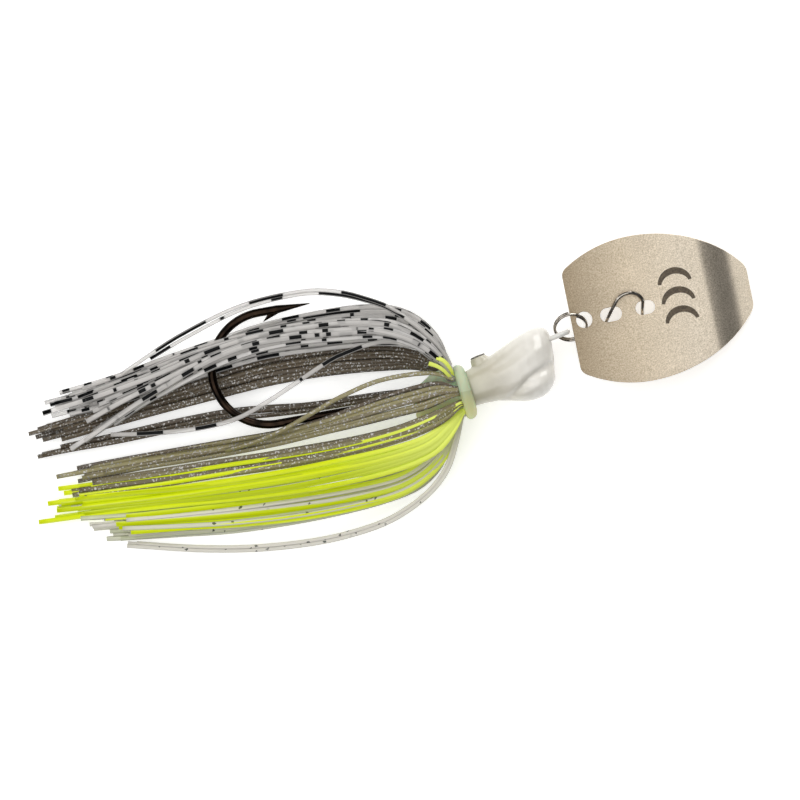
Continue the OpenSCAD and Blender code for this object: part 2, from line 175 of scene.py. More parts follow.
def turned_piece(name, rings):
    form = bmesh.new()
    rings = [[form.verts.new(point) for point in ring] for ring in rings]
    for one, other in zip(rings, rings[1:] + rings[:1]):
        for k in range(len(one)):
            following = (k + 1) % len(one)
            form.faces.new((one[k], one[following], other[following], other[k]))
    bmesh.ops.recalc_face_normals(form, faces=form.faces)
    piece = piece_from(name, form)
    piece.data.shade_smooth()
    return piece


print("pieces are linked to the", scene.collection.name)

# %% [markdown]
# ## The table
# Small glossy things are often shot on a light table: a white sheet of opal plastic lit from
# below as well as from above. It kills the shadows and shines through the silicone. A large
# plane with a matt white surface that also glows a little does the same.

# %% Make the light table
TABLE_HALF_WIDTH = 4
TABLE_TOP = -0.0002

opal = new_material("opal acrylic sheet")
opal_surface = add(opal, "ShaderNodeBsdfPrincipled", {
    "Base Color": linear("#f4f4f2"), "Roughness": 0.75, "Specular IOR Level": 0.2,
    "Emission Color": linear("#ffffff"), "Emission Strength": 0.47})
add(opal, "ShaderNodeOutputMaterial", {"Surface": opal_surface.outputs["BSDF"]})

table_form = bmesh.new()
bmesh.ops.create_grid(table_form, x_segments=2, y_segments=2, size=TABLE_HALF_WIDTH)
table = piece_from("table", table_form)
table.location = (0, 0, TABLE_TOP)
table.data.materials.append(opal)
print("table:", round(max(v.co.x for v in table.data.vertices), 2), "m to each side")

# %% [markdown]
# ## The light
# One very wide softbox hangs overhead and off to the left. Its right edge ends just past the
# lure, so the blade's flat mirrors the softbox, and its bent lip mirrors the dim room beside
# it. That is what draws the dark band across the bend. A dim grey room fills the rest. A
# small softbox stands low on the far right, where neither face of the blade can mirror it. It
# lights the nose of the head and draws thin bright lines along the wires.

# %% Hang the softbox
room = bpy.data.worlds.new("room")
room.use_nodes = True
room.node_tree.nodes["Background"].inputs["Color"].default_value = linear("#f2f4f8")
room.node_tree.nodes["Background"].inputs["Strength"].default_value = 0.14
scene.world = room
scene.view_settings.view_transform = "Standard"
scene.view_settings.look = "None"


def softbox(name, centre, aim, width, depth, power):
    data = bpy.data.lights.new(name, "AREA")
    data.shape = "RECTANGLE"
    data.size = width
    data.size_y = depth
    data.energy = power
    lamp = bpy.data.objects.new(name, data)
    lamp.location = centre
    lamp.rotation_euler = (Vector(aim) - Vector(centre)).to_track_quat("-Z", "Y").to_euler()
    scene.collection.objects.link(lamp)
    return lamp


overhead = softbox("overhead_softbox", (-0.72, 0.1, 1.25), (-0.72, 0.1, 0), 2.0, 2.2, 23)
side_lamp = softbox("side_softbox", (0.55, 0.75, 0.42), (0, 0, 0), 0.7, 0.5, 4.6)
print("overhead:", overhead.data.energy, "W, side:", side_lamp.data.energy, "W")

# %% [markdown]
# ## Lead with pearl enamel
# The head is lead, cast round the hook, dipped in white enamel with a little mica in it and
# clear coated. Enamel is a plastic, so its IOR is about 1.5 and it isn't metallic. The mica
# gives soft silvery patches a few millimetres across, and the clear coat a sharper shine on
# top. Casting and dipping leave it very slightly uneven.

# %% Mix the pearl enamel
def pearl_enamel(name):
    material = new_material(name)
    coords = add(material, "ShaderNodeTexCoord")
    # patches of mica about 3 mm across
    patches = add(material, "ShaderNodeTexNoise", {
        "Vector": coords.outputs["Object"], "Scale": 300, "Detail": 2, "Roughness": 0.5})
    tint = add(material, "ShaderNodeValToRGB", {"Fac": patches.outputs["Fac"]},
               [(0.3, linear("#e4e0d6")), (0.7, linear("#f2eee5"))])
    # painted shade and light: darker and a little greenish at the neck, brightening to clean white at the
    # nose
    where = add(material, "ShaderNodeSeparateXYZ", {"Vector": coords.outputs["Object"]})
    along = add(material, "ShaderNodeMapRange", {
        "Value": where.outputs["X"], "From Min": place(1.5, 0, 0).x, "From Max": place(17, 0, 0).x})
    neck_shade_nose_light = add(material, "ShaderNodeValToRGB", {"Fac": along.outputs["Result"]}, [
        (0.0, linear("#c9c8b6")), (0.3, linear("#dddace")), (0.8, grey(1.0))])
    painted = add(material, "ShaderNodeMix", {
        "Factor": 1.0, 6: tint.outputs["Color"], 7: neck_shade_nose_light.outputs["Color"]},
        data_type="RGBA", blend_type="MULTIPLY")
    # single flakes are finer than 0.05 mm; they are drawn at 0.25 mm so that they show
    flakes = add(material, "ShaderNodeTexVoronoi", {"Vector": coords.outputs["Object"], "Scale": 4000})
    flake_shine = add(material, "ShaderNodeMapRange", {
        "Value": flakes.outputs["Color"], "To Min": 0.3, "To Max": 0.4})
    # the dipped coat is uneven over about 1 mm
    waves = add(material, "ShaderNodeTexNoise", {
        "Vector": coords.outputs["Object"], "Scale": 900, "Detail": 2})
    relief = add(material, "ShaderNodeBump", {
        "Height": waves.outputs["Fac"], "Strength": 0.1, "Distance": 0.0001})
    surface = add(material, "ShaderNodeBsdfPrincipled", {
        "Base Color": painted.outputs[2], "Roughness": flake_shine.outputs["Result"],
        "IOR": 1.5, "Coat Weight": 0.7, "Coat Roughness": 0.12, "Normal": relief.outputs["Normal"]})
    add(material, "ShaderNodeOutputMaterial", {"Surface": surface.outputs["BSDF"]})
    return material


enamel = pearl_enamel("pearl enamel on cast lead")
print(enamel.name, "has", len(enamel.node_tree.nodes), "nodes")

# %% [markdown]
# ## Plated wire
# The hook is carbon steel with a black nickel plate, and the ring and the snap are spring
# steel with bright nickel. A metal's colour is the tint of its mirror image, so it goes in
# the base colour with metallic at 1. Drawn wire keeps faint lines, which the plating nearly
# hides: they only blur the shine a little. Black nickel is a brownish near-black.

# %% Plate the wires
def plated_wire(name, dark, light, dull, shine):
    material = new_material(name)
    coords = add(material, "ShaderNodeTexCoord")
    # cloudy plating, about 1.5 mm across
    cloud = add(material, "ShaderNodeTexNoise", {
        "Vector": coords.outputs["Object"], "Scale": 650, "Detail": 4, "Roughness": 0.65})
    tint = add(material, "ShaderNodeValToRGB", {"Fac": cloud.outputs["Fac"]},
               [(0.35, linear(dark)), (0.65, linear(light))])
    blur = add(material, "ShaderNodeMapRange", {
        "Value": cloud.outputs["Fac"], "To Min": shine, "To Max": dull})
    surface = add(material, "ShaderNodeBsdfPrincipled", {
        "Base Color": tint.outputs["Color"], "Metallic": 1.0, "Roughness": blur.outputs["Result"]})
    add(material, "ShaderNodeOutputMaterial", {"Surface": surface.outputs["BSDF"]})
    return material


bright_nickel = plated_wire("bright nickel on spring steel", "#6e675e", "#bdb6ac", 0.2, 0.06)
print(bright_nickel.name, "ready")

# %% [markdown]
# ## The hook's two finishes
# The hook is plated all over, but its eye went into the enamel bath with the head, so it is
# white in front of the neck. One material can hold both: the place along the hook chooses
# between the plated steel and the enamel, with a slightly ragged edge.

# %% Plate the hook and dip its eye
EYE_PAINT_X = place(9.0, 0, 0).x

hook_finish = new_material("black nickel on carbon steel")
hook_coords = add(hook_finish, "ShaderNodeTexCoord")
hook_cloud = add(hook_finish, "ShaderNodeTexNoise", {
    "Vector": hook_coords.outputs["Object"], "Scale": 500, "Detail": 4, "Roughness": 0.6})
hook_tint = add(hook_finish, "ShaderNodeValToRGB", {"Fac": hook_cloud.outputs["Fac"]},
                [(0.35, linear("#15110e")), (0.7, linear("#30251d"))])
hook_blur = add(hook_finish, "ShaderNodeMapRange", {
    "Value": hook_cloud.outputs["Fac"], "To Min": 0.06, "To Max": 0.16})
hook_steel = add(hook_finish, "ShaderNodeBsdfPrincipled", {
    "Base Color": hook_tint.outputs["Color"], "Metallic": 1.0, "Roughness": hook_blur.outputs["Result"]})
hook_enamel = add(hook_finish, "ShaderNodeBsdfPrincipled", {
    "Base Color": linear("#e4e2dc"), "Roughness": 0.3, "IOR": 1.5,
    "Coat Weight": 0.6, "Coat Roughness": 0.08})
hook_place = add(hook_finish, "ShaderNodeSeparateXYZ", {"Vector": hook_coords.outputs["Object"]})
hook_dip = add(hook_finish, "ShaderNodeMapRange", {
    "Value": hook_place.outputs["X"], "From Min": EYE_PAINT_X, "From Max": EYE_PAINT_X + 0.0004})
hook_mix = add(hook_finish, "ShaderNodeMixShader", {
    0: hook_dip.outputs["Result"], 1: hook_steel.outputs["BSDF"], 2: hook_enamel.outputs["BSDF"]})
add(hook_finish, "ShaderNodeOutputMaterial", {"Surface": hook_mix.outputs["Shader"]})
print("enamel starts at x =", round(1000 * EYE_PAINT_X, 1), "mm")

# %% [markdown]
# ## Bead-blasted stainless steel
# The blade is stainless sheet, stamped and then blasted with glass beads of about 0.1 mm. The
# blasting leaves tiny dents all over, which spread the light into a soft satin glow, with a
# fine salt-and-pepper grain. Cut edges and the rims of the holes are rolled a little by the
# press and look darker. The warm tint comes from a thin oxide left by heat treatment.

# %% Blast the steel
blasted_steel = new_material("bead blasted stainless steel")
blade_coords = add(blasted_steel, "ShaderNodeTexCoord")
# the grain is drawn at about 0.25 mm, two or three beads across, so that it shows
grain = add(blasted_steel, "ShaderNodeTexNoise", {
    "Vector": blade_coords.outputs["Object"], "Scale": 4200, "Detail": 2, "Roughness": 0.7})
haze = add(blasted_steel, "ShaderNodeTexNoise", {
    "Vector": blade_coords.outputs["Object"], "Scale": 120, "Detail": 3, "Roughness": 0.6})
steel_grain = add(blasted_steel, "ShaderNodeValToRGB", {"Fac": grain.outputs["Fac"]},
                  [(0.3, linear("#b9ab94")), (0.7, linear("#f6ead8"))])
steel_haze = add(blasted_steel, "ShaderNodeValToRGB", {"Fac": haze.outputs["Fac"]},
                 [(0.35, grey(0.92)), (0.65, grey(1.0))])
# painted shade: the steel is darker by its first hole and lighter towards its far end, for the way the light
# falls across the blade
steel_place = add(blasted_steel, "ShaderNodeSeparateXYZ", {"Vector": blade_coords.outputs["Object"]})
steel_along = add(blasted_steel, "ShaderNodeMapRange", {
    "Value": steel_place.outputs["X"], "From Min": place(23, 0, 0).x, "From Max": place(46, 0, 0).x})
steel_painted_shade = add(blasted_steel, "ShaderNodeValToRGB", {"Fac": steel_along.outputs["Result"]}, [
    (0.0, linear("#b6aea1")), (0.5, linear("#f0ece5")), (1.0, grey(1.0))])
steel_haze_and_shade = add(blasted_steel, "ShaderNodeMix", {
    "Factor": 1.0, 6: steel_haze.outputs["Color"], 7: steel_painted_shade.outputs["Color"]},
    data_type="RGBA", blend_type="MULTIPLY")
steel_tint = add(blasted_steel, "ShaderNodeMix", {
    "Factor": 1.0, 6: steel_grain.outputs["Color"], 7: steel_haze_and_shade.outputs[2]},
    data_type="RGBA", blend_type="MULTIPLY")
steel_blur = add(blasted_steel, "ShaderNodeMapRange", {
    "Value": grain.outputs["Fac"], "To Min": 0.3, "To Max": 0.44})
steel_dents = add(blasted_steel, "ShaderNodeBump", {
    "Height": grain.outputs["Fac"], "Strength": 0.3, "Distance": 0.00003})
steel_surface = add(blasted_steel, "ShaderNodeBsdfPrincipled", {
    "Base Color": steel_tint.outputs[2], "Metallic": 1.0, "Roughness": steel_blur.outputs["Result"],
    "Normal": steel_dents.outputs["Normal"]})
add(blasted_steel, "ShaderNodeOutputMaterial", {"Surface": steel_surface.outputs["BSDF"]})
print(blasted_steel.name, "ready")

# %% [markdown]
# ## Finish the hard parts
# The hook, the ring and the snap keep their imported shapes. Each only gets its finish.

# %% Give the wires their finish
FINISHES = {"hook": hook_finish, "split_ring": bright_nickel, "snap_body": bright_nickel,
            "snap_latch": bright_nickel}

for part, finish in FINISHES.items():
    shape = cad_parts[part]
    shape.data.materials.clear()
    shape.data.materials.append(finish)
    print(part, "->", finish.name)

# %% [markdown]
# ## The cast head
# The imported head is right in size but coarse, and a casting is soft everywhere: the eye melts
# into the neck, and the two creases that shape the nose are rounded valleys. So the head and
# its eye are copied into one mesh, and a voxel remesh pours them together, much as the lead
# was. A few rounds of smoothing take out the steps. Then the creases are pressed in: each
# vertex looks up its distance to a line on the side of the head and moves in or out.

# %% Pour the head
VOXEL = 0.00022


def copy_nodes(name, *nodes):
    form = bmesh.new()
    for n in nodes:
        form.from_mesh(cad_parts[n].data)
    bmesh.ops.remove_doubles(form, verts=form.verts, dist=1e-6)
    return piece_from(name, form)


def apply_modifiers(piece):
    bpy.context.view_layer.update()
    shaped = bpy.data.meshes.new_from_object(piece.evaluated_get(bpy.context.evaluated_depsgraph_get()))
    piece.modifiers.clear()
    piece.data = shaped
    return piece


cast_head = copy_nodes("cast_head", "jig_head", "head_eye")
pour = cast_head.modifiers.new("pour", "REMESH")
pour.mode = "VOXEL"
pour.voxel_size = VOXEL
soften = cast_head.modifiers.new("soften", "SMOOTH")
soften.factor = 0.5
soften.iterations = 9
apply_modifiers(cast_head)
print("cast head:", len(cast_head.data.vertices), "vertices")

# %% [markdown]
# ## Press in the creases
# A crease is a line of points and how deep and wide it is. A soft bell curve of the distance
# gives a rounded valley, and a negative depth a rounded ridge. Both sides of the head get the
# same lines, because it was cast in a two-part mould.

# %% Press in the creases
CREASES = [
    # a valley between the nose and the lower lobe
    ([(19.2, 3.0), (18.1, 2.4), (15.9, 1.4), (14, 0.5), (13, -0.1), (12.1, -0.8), (10.7, -1.9),
      (9.2, -2.8)], 0.7, 0.7),
    # the lobe swells below it
    ([(17.4, -0.4), (15.6, -1.2), (14, -2.0), (12.4, -2.8)], -0.35, 1.3),
    # a soft ridge from the nose to the neck
    ([(17.6, 5.9), (14.7, 4.7), (12.3, 3.5), (10.4, 2.5), (7.6, 1.7)], -0.22, 1.1),
    # a shallow hollow behind the ridge
    ([(14.4, 6.6), (11.6, 5.2), (9.4, 4.1), (7.4, 3.3)], 0.22, 1.0),
    # the step round the foot of the eye
    ([(2.6, 3.3), (3.6, 3.9), (5, 4.15), (6.4, 4.5), (7.4, 5.1)], 0.12, 0.35)]


def line_distance(points, line):
    """Distance in mm from each point to a line of points, looking at the head's side."""
    best = np.full(len(points), 1e9)
    for a, b in zip(line, line[1:]):
        a, b = np.array(a), np.array(b)
        t = np.clip(((points - a) @ (b - a)) / ((b - a) @ (b - a)), 0, 1)
        best = np.minimum(best, np.linalg.norm(points - (a + t[:, None] * (b - a)), axis=1))
    return best


def vertex_array(mesh, what):
    values = np.zeros(len(mesh.vertices) * 3)
    mesh.vertices.foreach_get(what, values)
    return values.reshape(-1, 3)


head_points = vertex_array(cast_head.data, "co")
head_normals = vertex_array(cast_head.data, "normal")
side_view = head_points[:, :2] * 1000 - np.array(COLLAR_ORIGIN)[:2]
press = np.zeros(len(head_points))
for line, depth, width in CREASES:
    press -= depth * np.exp(-(line_distance(side_view, line) / width) ** 2)
# only what faces up or down is pressed in, and the edge between the two sides is left alone
facing = np.abs(head_normals[:, 2]) ** 0.7
head_points += head_normals * (press * facing)[:, None] / 1000
cast_head.data.vertices.foreach_set("co", head_points.ravel())
cast_head.data.update()
cast_head.data.shade_smooth()
cast_head.data.materials.clear()
cast_head.data.materials.append(enamel)
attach(cast_head, "head")
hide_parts("jig_head", "head_eye")
print("deepest press:", round(float(press.min()), 2), "mm")
print("highest ridge:", round(float(press.max()), 2), "mm")

# %% [markdown]
# ## The eye's ring
# The eye is a button with a thin dark ring painted round its top. The ring is a small torus
# turned by code: a circle carried round a circle, partly sunk into the enamel.

# %% Turn the eye's ring
EYE_TURN = math.radians(12)
EYE_FOOT = Vector((4.75, 4.4, 0))
EYE_LIFT = 1.66
LINE_RADIUS = 1.28
LINE_THICKNESS = 0.2
LINE_STEPS = 48
LINE_SIDES = 8

eye_axis = Vector((-math.sin(EYE_TURN), math.cos(EYE_TURN), 0)).normalized()
eye_first = eye_axis.orthogonal().normalized()
eye_second = eye_axis.cross(eye_first)
eye_rings = []
for i in range(LINE_STEPS):
    turn = 2 * math.pi * i / LINE_STEPS
    out = eye_first * math.cos(turn) + eye_second * math.sin(turn)
    section = [2 * math.pi * k / LINE_SIDES for k in range(LINE_SIDES)]
    eye_rings.append([place(*(EYE_FOOT + eye_axis * EYE_LIFT
                              + out * (LINE_RADIUS + LINE_THICKNESS * math.cos(a))
                              + eye_axis * LINE_THICKNESS * math.sin(a))) for a in section])
eye_ring = turned_piece("eye_ring", eye_rings)
print("eye ring:", len(eye_ring.data.polygons), "faces")

# %% [markdown]
# ## Dark enamel line
# The ring is a line of thin dark enamel on the pale one. It isn't equally dark all the way
# round, because the pale enamel shows through where the line is thinnest.

# %% Paint the eye's ring
eye_paint = new_material("dark enamel line")
eye_paint_coords = add(eye_paint, "ShaderNodeTexCoord")
eye_paint_wear = add(eye_paint, "ShaderNodeTexNoise", {
    "Vector": eye_paint_coords.outputs["Object"], "Scale": 1500, "Detail": 2})
eye_paint_tint = add(eye_paint, "ShaderNodeValToRGB", {"Fac": eye_paint_wear.outputs["Fac"]}, [
    (0.35, linear("#3e3c39")), (0.65, linear("#77746e"))])
eye_paint_surface = add(eye_paint, "ShaderNodeBsdfPrincipled", {
    "Base Color": eye_paint_tint.outputs["Color"], "Roughness": 0.35, "IOR": 1.5})
add(eye_paint, "ShaderNodeOutputMaterial", {"Surface": eye_paint_surface.outputs["BSDF"]})
eye_ring.data.materials.append(eye_paint)
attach(eye_ring, "head")
print("eye ring on the head")

# %% [markdown]
# ## The pressed blade
# A press leaves a blade's edges a little rolled, and so are the rims of its holes. They mirror
# the side of the room instead of the ceiling, and show as thin dark lines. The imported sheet
# has sharp edges, so a copy of it gets a narrow bevel wherever two faces meet steeply. The
# bevel would pull the shading of the flat with it, and weighting the normals by area stops that.

# %% Roll the blade's edges
EDGE_ROLL = 0.00028

pressed_blade = copy_nodes("pressed_blade", "blade")
blade_form = bmesh.new()
blade_form.from_mesh(pressed_blade.data)
bmesh.ops.dissolve_limit(
    blade_form, angle_limit=math.radians(1.5), verts=blade_form.verts, edges=blade_form.edges)
blade_form.to_mesh(pressed_blade.data)
blade_form.free()
roll_edge = pressed_blade.modifiers.new("rolled_edge", "BEVEL")
roll_edge.width = EDGE_ROLL
roll_edge.segments = 3
roll_edge.limit_method = "ANGLE"
roll_edge.angle_limit = math.radians(50)
pressed_blade.data.shade_smooth()
keep_flat = pressed_blade.modifiers.new("keep_flat", "WEIGHTED_NORMAL")
keep_flat.mode = "FACE_AREA"
keep_flat.weight = 100
apply_modifiers(pressed_blade)
pressed_blade.data.materials.clear()
pressed_blade.data.materials.append(blasted_steel)
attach(pressed_blade, "blade")
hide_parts("blade")
print("pressed blade:", len(pressed_blade.data.polygons), "faces")

# %% [markdown]
# ## Silicone strands
# Skirt strands are slit from thin sheets of silicone rubber, about half a millimetre thick,
# so each is a flat strip with a nearly square section and square cut ends. The sheet is
# printed or filled before it is slit: that is why a black bar runs on across its neighbours,
# a little out of step. So every strand carries two sets of coordinates. One is its place on
# the sheet it was cut from, in millimetres. The other is the place across the strip alone,
# with a number of its own for each strip. Silicone's IOR is about 1.41, and it lets light
# through, which an alpha below 1 stands for at far less cost than real refraction.

# %% Start a silicone
SHEET_MAP = "sheet"
STRIP_MAP = "strip"
STRIP_WIDTH = 0.88
print("each strip carries the maps", SHEET_MAP, "and", STRIP_MAP)

# %% [markdown]
# ## Clear silicone with black bars
# The clear sheet is printed with short black bars, 2 to 5 mm long and a few strips wide. Soft
# noise stretched along the strips and cut off sharply gives islands of that shape. Where two
# strips have slipped past each other the island breaks into steps, as on the real skirt. The
# ink is dense and dusty, so it hides what lies behind it and hardly shines.

# %% Print the barred silicone
barred = new_material("clear silicone with printed bars")
barred_strip = add(barred, "ShaderNodeUVMap", uv_map=STRIP_MAP)
barred_across = add(barred, "ShaderNodeSeparateXYZ", {"Vector": barred_strip.outputs["UV"]})
# snapped to the strip's middle, so that each bar covers the whole width of its strip
barred_sheet = add(barred, "ShaderNodeUVMap", uv_map=SHEET_MAP)
barred_snap = add(barred, "ShaderNodeVectorMath", {
    0: barred_sheet.outputs["UV"], 1: (STRIP_WIDTH, 0.05, 1)}, operation="SNAP")
# a bar is about 1.6 mm wide and 4.4 mm long
bar_place = add(barred, "ShaderNodeMapping", {
    "Vector": barred_snap.outputs["Vector"], "Scale": (1 / 1.6, 1 / 4.4, 1)})
bars = add(barred, "ShaderNodeTexNoise", {
    "Vector": bar_place.outputs["Vector"], "Scale": 1.0, "Detail": 1.0, "Roughness": 0.5},
    noise_dimensions="2D")
bar_island = add(barred, "ShaderNodeMapRange", {
    "Value": bars.outputs["Fac"], "From Min": 0.56, "From Max": 0.572})
# the ink stops just short of the cut edges
bar_band = add(barred, "ShaderNodeValToRGB", {"Fac": barred_across.outputs["X"]}, [
    (0.04, grey(0.0)), (0.14, grey(1.0)), (0.78, grey(1.0)), (0.9, grey(0.0))])
bar_mask = add(barred, "ShaderNodeMath", {
    0: bar_island.outputs["Result"], 1: bar_band.outputs["Color"]}, operation="MULTIPLY")
# light leaves a clear strip at its cut edges, so they look darker than its middle
barred_shade = add(barred, "ShaderNodeValToRGB", {"Fac": barred_across.outputs["X"]}, [
    (0.0, grey(0.4)), (0.16, grey(1.0)), (0.84, grey(1.0)), (1.0, grey(0.4))])
barred_tone = add(barred, "ShaderNodeValToRGB", {"Fac": barred_across.outputs["Y"]}, [
    (0.0, linear("#dcd8d3")), (0.5, linear("#efebe6")), (1.0, linear("#fbf8f4"))])
barred_clear = add(barred, "ShaderNodeMix", {
    "Factor": 1.0, 6: barred_tone.outputs["Color"], 7: barred_shade.outputs["Color"]},
    data_type="RGBA", blend_type="MULTIPLY")
barred_colour = add(barred, "ShaderNodeMix", {
    "Factor": bar_mask.outputs["Value"], 6: barred_clear.outputs[2], 7: linear("#060708")},
    data_type="RGBA")
barred_alpha = add(barred, "ShaderNodeMapRange", {
    "Value": bar_mask.outputs["Value"], "To Min": 0.52, "To Max": 1.0})
barred_shine = add(barred, "ShaderNodeMapRange", {
    "Value": bar_mask.outputs["Value"], "To Min": 0.5, "To Max": 0.12})
barred_surface = add(barred, "ShaderNodeBsdfPrincipled", {
    "Base Color": barred_colour.outputs[2], "Alpha": barred_alpha.outputs["Result"],
    "Specular IOR Level": barred_shine.outputs["Result"], "Roughness": 0.28, "IOR": 1.41})
add(barred, "ShaderNodeOutputMaterial", {"Surface": barred_surface.outputs["BSDF"]})
print(barred.name, "ready")

# %% [markdown]
# ## Smoke silicone with silver flake
# Smoke grey rubber, filled with fine aluminium flake. A flake is a tiny mirror about 0.1 mm
# across. They are drawn at 0.25 mm, so that they show, as cells of which only the few
# brightest become metal.

# %% Fill the smoke silicone
smoke = new_material("smoke silicone with silver flake")
smoke_strip = add(smoke, "ShaderNodeUVMap", uv_map=STRIP_MAP)
smoke_across = add(smoke, "ShaderNodeSeparateXYZ", {"Vector": smoke_strip.outputs["UV"]})
smoke_sheet = add(smoke, "ShaderNodeUVMap", uv_map=SHEET_MAP)
smoke_place = add(smoke, "ShaderNodeMapping", {
    "Vector": smoke_sheet.outputs["UV"], "Scale": (1 / 0.24, 1 / 0.24, 1)})
smoke_flakes = add(smoke, "ShaderNodeTexVoronoi", {
    "Vector": smoke_place.outputs["Vector"], "Scale": 1.0}, voronoi_dimensions="2D")
smoke_cells = add(smoke, "ShaderNodeSeparateColor", {"Color": smoke_flakes.outputs["Color"]})
flake_mask = add(smoke, "ShaderNodeMapRange", {
    "Value": smoke_cells.outputs["Red"], "From Min": 0.8, "From Max": 0.93})
# strips with a high number are painted lighter and olive, a painted light for the chartreuse that shines
# through them
smoke_tone = add(smoke, "ShaderNodeValToRGB", {"Fac": smoke_across.outputs["Y"]}, [
    (0.0, linear("#4b4034")), (0.45, linear("#6a5e4c")), (1.0, linear("#a1986c"))])
smoke_shade = add(smoke, "ShaderNodeValToRGB", {"Fac": smoke_across.outputs["X"]}, [
    (0.0, grey(0.55)), (0.16, grey(1.0)), (0.84, grey(1.0)), (1.0, grey(0.55))])
smoke_rubber = add(smoke, "ShaderNodeMix", {
    "Factor": 1.0, 6: smoke_tone.outputs["Color"], 7: smoke_shade.outputs["Color"]},
    data_type="RGBA", blend_type="MULTIPLY")
smoke_colour = add(smoke, "ShaderNodeMix", {
    "Factor": flake_mask.outputs["Result"], 6: smoke_rubber.outputs[2], 7: linear("#b8b6b2")},
    data_type="RGBA")
smoke_metal = add(smoke, "ShaderNodeMapRange", {
    "Value": flake_mask.outputs["Result"], "To Min": 0.0, "To Max": 0.8})
smoke_surface = add(smoke, "ShaderNodeBsdfPrincipled", {
    "Base Color": smoke_colour.outputs[2], "Alpha": 0.82, "Metallic": smoke_metal.outputs["Result"],
    "Roughness": 0.32, "IOR": 1.41})
add(smoke, "ShaderNodeOutputMaterial", {"Surface": smoke_surface.outputs["BSDF"]})
print(smoke.name, "ready")

# %% [markdown]
# ## Chartreuse silicone
# The pigment is fluorescent: it turns blue and ultraviolet light into yellow-green, so it
# looks brighter than any plain paint could. A weak glow of the same colour stands for that.
# The cut edges are painted paler, for the light that passes through them. This rubber is
# packed full of pigment, which makes its skin duller than that of the clear strips.

# %% Tint the chartreuse silicone
chartreuse = new_material("fluorescent chartreuse silicone")
chartreuse_strip = add(chartreuse, "ShaderNodeUVMap", uv_map=STRIP_MAP)
chartreuse_across = add(chartreuse, "ShaderNodeSeparateXYZ", {"Vector": chartreuse_strip.outputs["UV"]})
chartreuse_sheet = add(chartreuse, "ShaderNodeUVMap", uv_map=SHEET_MAP)
# streaks 0.35 mm wide and 9 mm long, along the strip
chartreuse_place = add(chartreuse, "ShaderNodeMapping", {
    "Vector": chartreuse_sheet.outputs["UV"], "Scale": (1 / 0.35, 1 / 9, 1)})
chartreuse_noise = add(chartreuse, "ShaderNodeTexNoise", {
    "Vector": chartreuse_place.outputs["Vector"], "Scale": 1.0, "Detail": 2}, noise_dimensions="2D")
chartreuse_streak = add(chartreuse, "ShaderNodeMapRange", {
    "Value": chartreuse_noise.outputs["Fac"], "From Min": 0.45, "From Max": 0.75, "To Max": 0.35})
chartreuse_tone = add(chartreuse, "ShaderNodeValToRGB", {"Fac": chartreuse_across.outputs["Y"]}, [
    (0.0, linear("#a8b800")), (0.5, linear("#c8d600")), (1.0, linear("#e0ea24"))])
# painted light: each strip's cut edges are mixed towards a pale yellow-green
chartreuse_painted_edge_light = add(chartreuse, "ShaderNodeValToRGB", {"Fac": chartreuse_across.outputs["X"]}, [
    (0.0, grey(0.5)), (0.16, grey(0.0)), (0.84, grey(0.0)), (1.0, grey(0.5))])
chartreuse_edge = add(chartreuse, "ShaderNodeMix", {
    "Factor": chartreuse_painted_edge_light.outputs["Color"], 6: chartreuse_tone.outputs["Color"], 7: linear("#e6f07a")},
    data_type="RGBA")
chartreuse_colour = add(chartreuse, "ShaderNodeMix", {
    "Factor": chartreuse_streak.outputs["Result"], 6: chartreuse_edge.outputs[2], 7: linear("#b5c400")},
    data_type="RGBA")
# painted light: near the collar the strips are mixed towards a pale lime, for the light shining through them
# there
chartreuse_where = add(chartreuse, "ShaderNodeTexCoord")
chartreuse_xyz = add(chartreuse, "ShaderNodeSeparateXYZ", {"Vector": chartreuse_where.outputs["Object"]})
chartreuse_backlight_place = add(chartreuse, "ShaderNodeMapRange", {
    "Value": chartreuse_xyz.outputs["X"], "From Min": place(-26, 0, 0).x, "From Max": place(-3, 0, 0).x,
    "To Max": 0.5})
chartreuse_painted_backlight = add(chartreuse, "ShaderNodeMix", {
    "Factor": chartreuse_backlight_place.outputs["Result"], 6: chartreuse_colour.outputs[2], 7: linear("#eef59c")},
    data_type="RGBA")
chartreuse_surface = add(chartreuse, "ShaderNodeBsdfPrincipled", {
    "Base Color": chartreuse_painted_backlight.outputs[2], "Alpha": 0.97, "Roughness": 0.34, "IOR": 1.41,
    "Specular IOR Level": 0.25, "Emission Color": linear("#cde000"), "Emission Strength": 0.14})
add(chartreuse, "ShaderNodeOutputMaterial", {"Surface": chartreuse_surface.outputs["BSDF"]})
print(chartreuse.name, "ready")

# %% [markdown]
# ## Pearl silicone
# The belly strips are milky: a little white mica in clear rubber, and here and there a black
# fleck 0.4 mm across. So they are half see-through, and pick up the green beside them.

# %% Mix the pearl silicone
pearl = new_material("pearl silicone with black fleck")
pearl_strip = add(pearl, "ShaderNodeUVMap", uv_map=STRIP_MAP)
pearl_across = add(pearl, "ShaderNodeSeparateXYZ", {"Vector": pearl_strip.outputs["UV"]})
pearl_sheet = add(pearl, "ShaderNodeUVMap", uv_map=SHEET_MAP)
pearl_place = add(pearl, "ShaderNodeMapping", {
    "Vector": pearl_sheet.outputs["UV"], "Scale": (1 / 0.42, 1 / 0.5, 1)})
pearl_cells = add(pearl, "ShaderNodeTexVoronoi", {
    "Vector": pearl_place.outputs["Vector"], "Scale": 1.0}, voronoi_dimensions="2D")
pearl_pick = add(pearl, "ShaderNodeSeparateColor", {"Color": pearl_cells.outputs["Color"]})
pearl_fleck = add(pearl, "ShaderNodeMapRange", {
    "Value": pearl_pick.outputs["Red"], "From Min": 0.985, "From Max": 0.99})
pearl_tone = add(pearl, "ShaderNodeValToRGB", {"Fac": pearl_across.outputs["Y"]}, [
    (0.0, linear("#d8dcbc")), (0.5, linear("#e6e4d2")), (1.0, linear("#f1ece2"))])
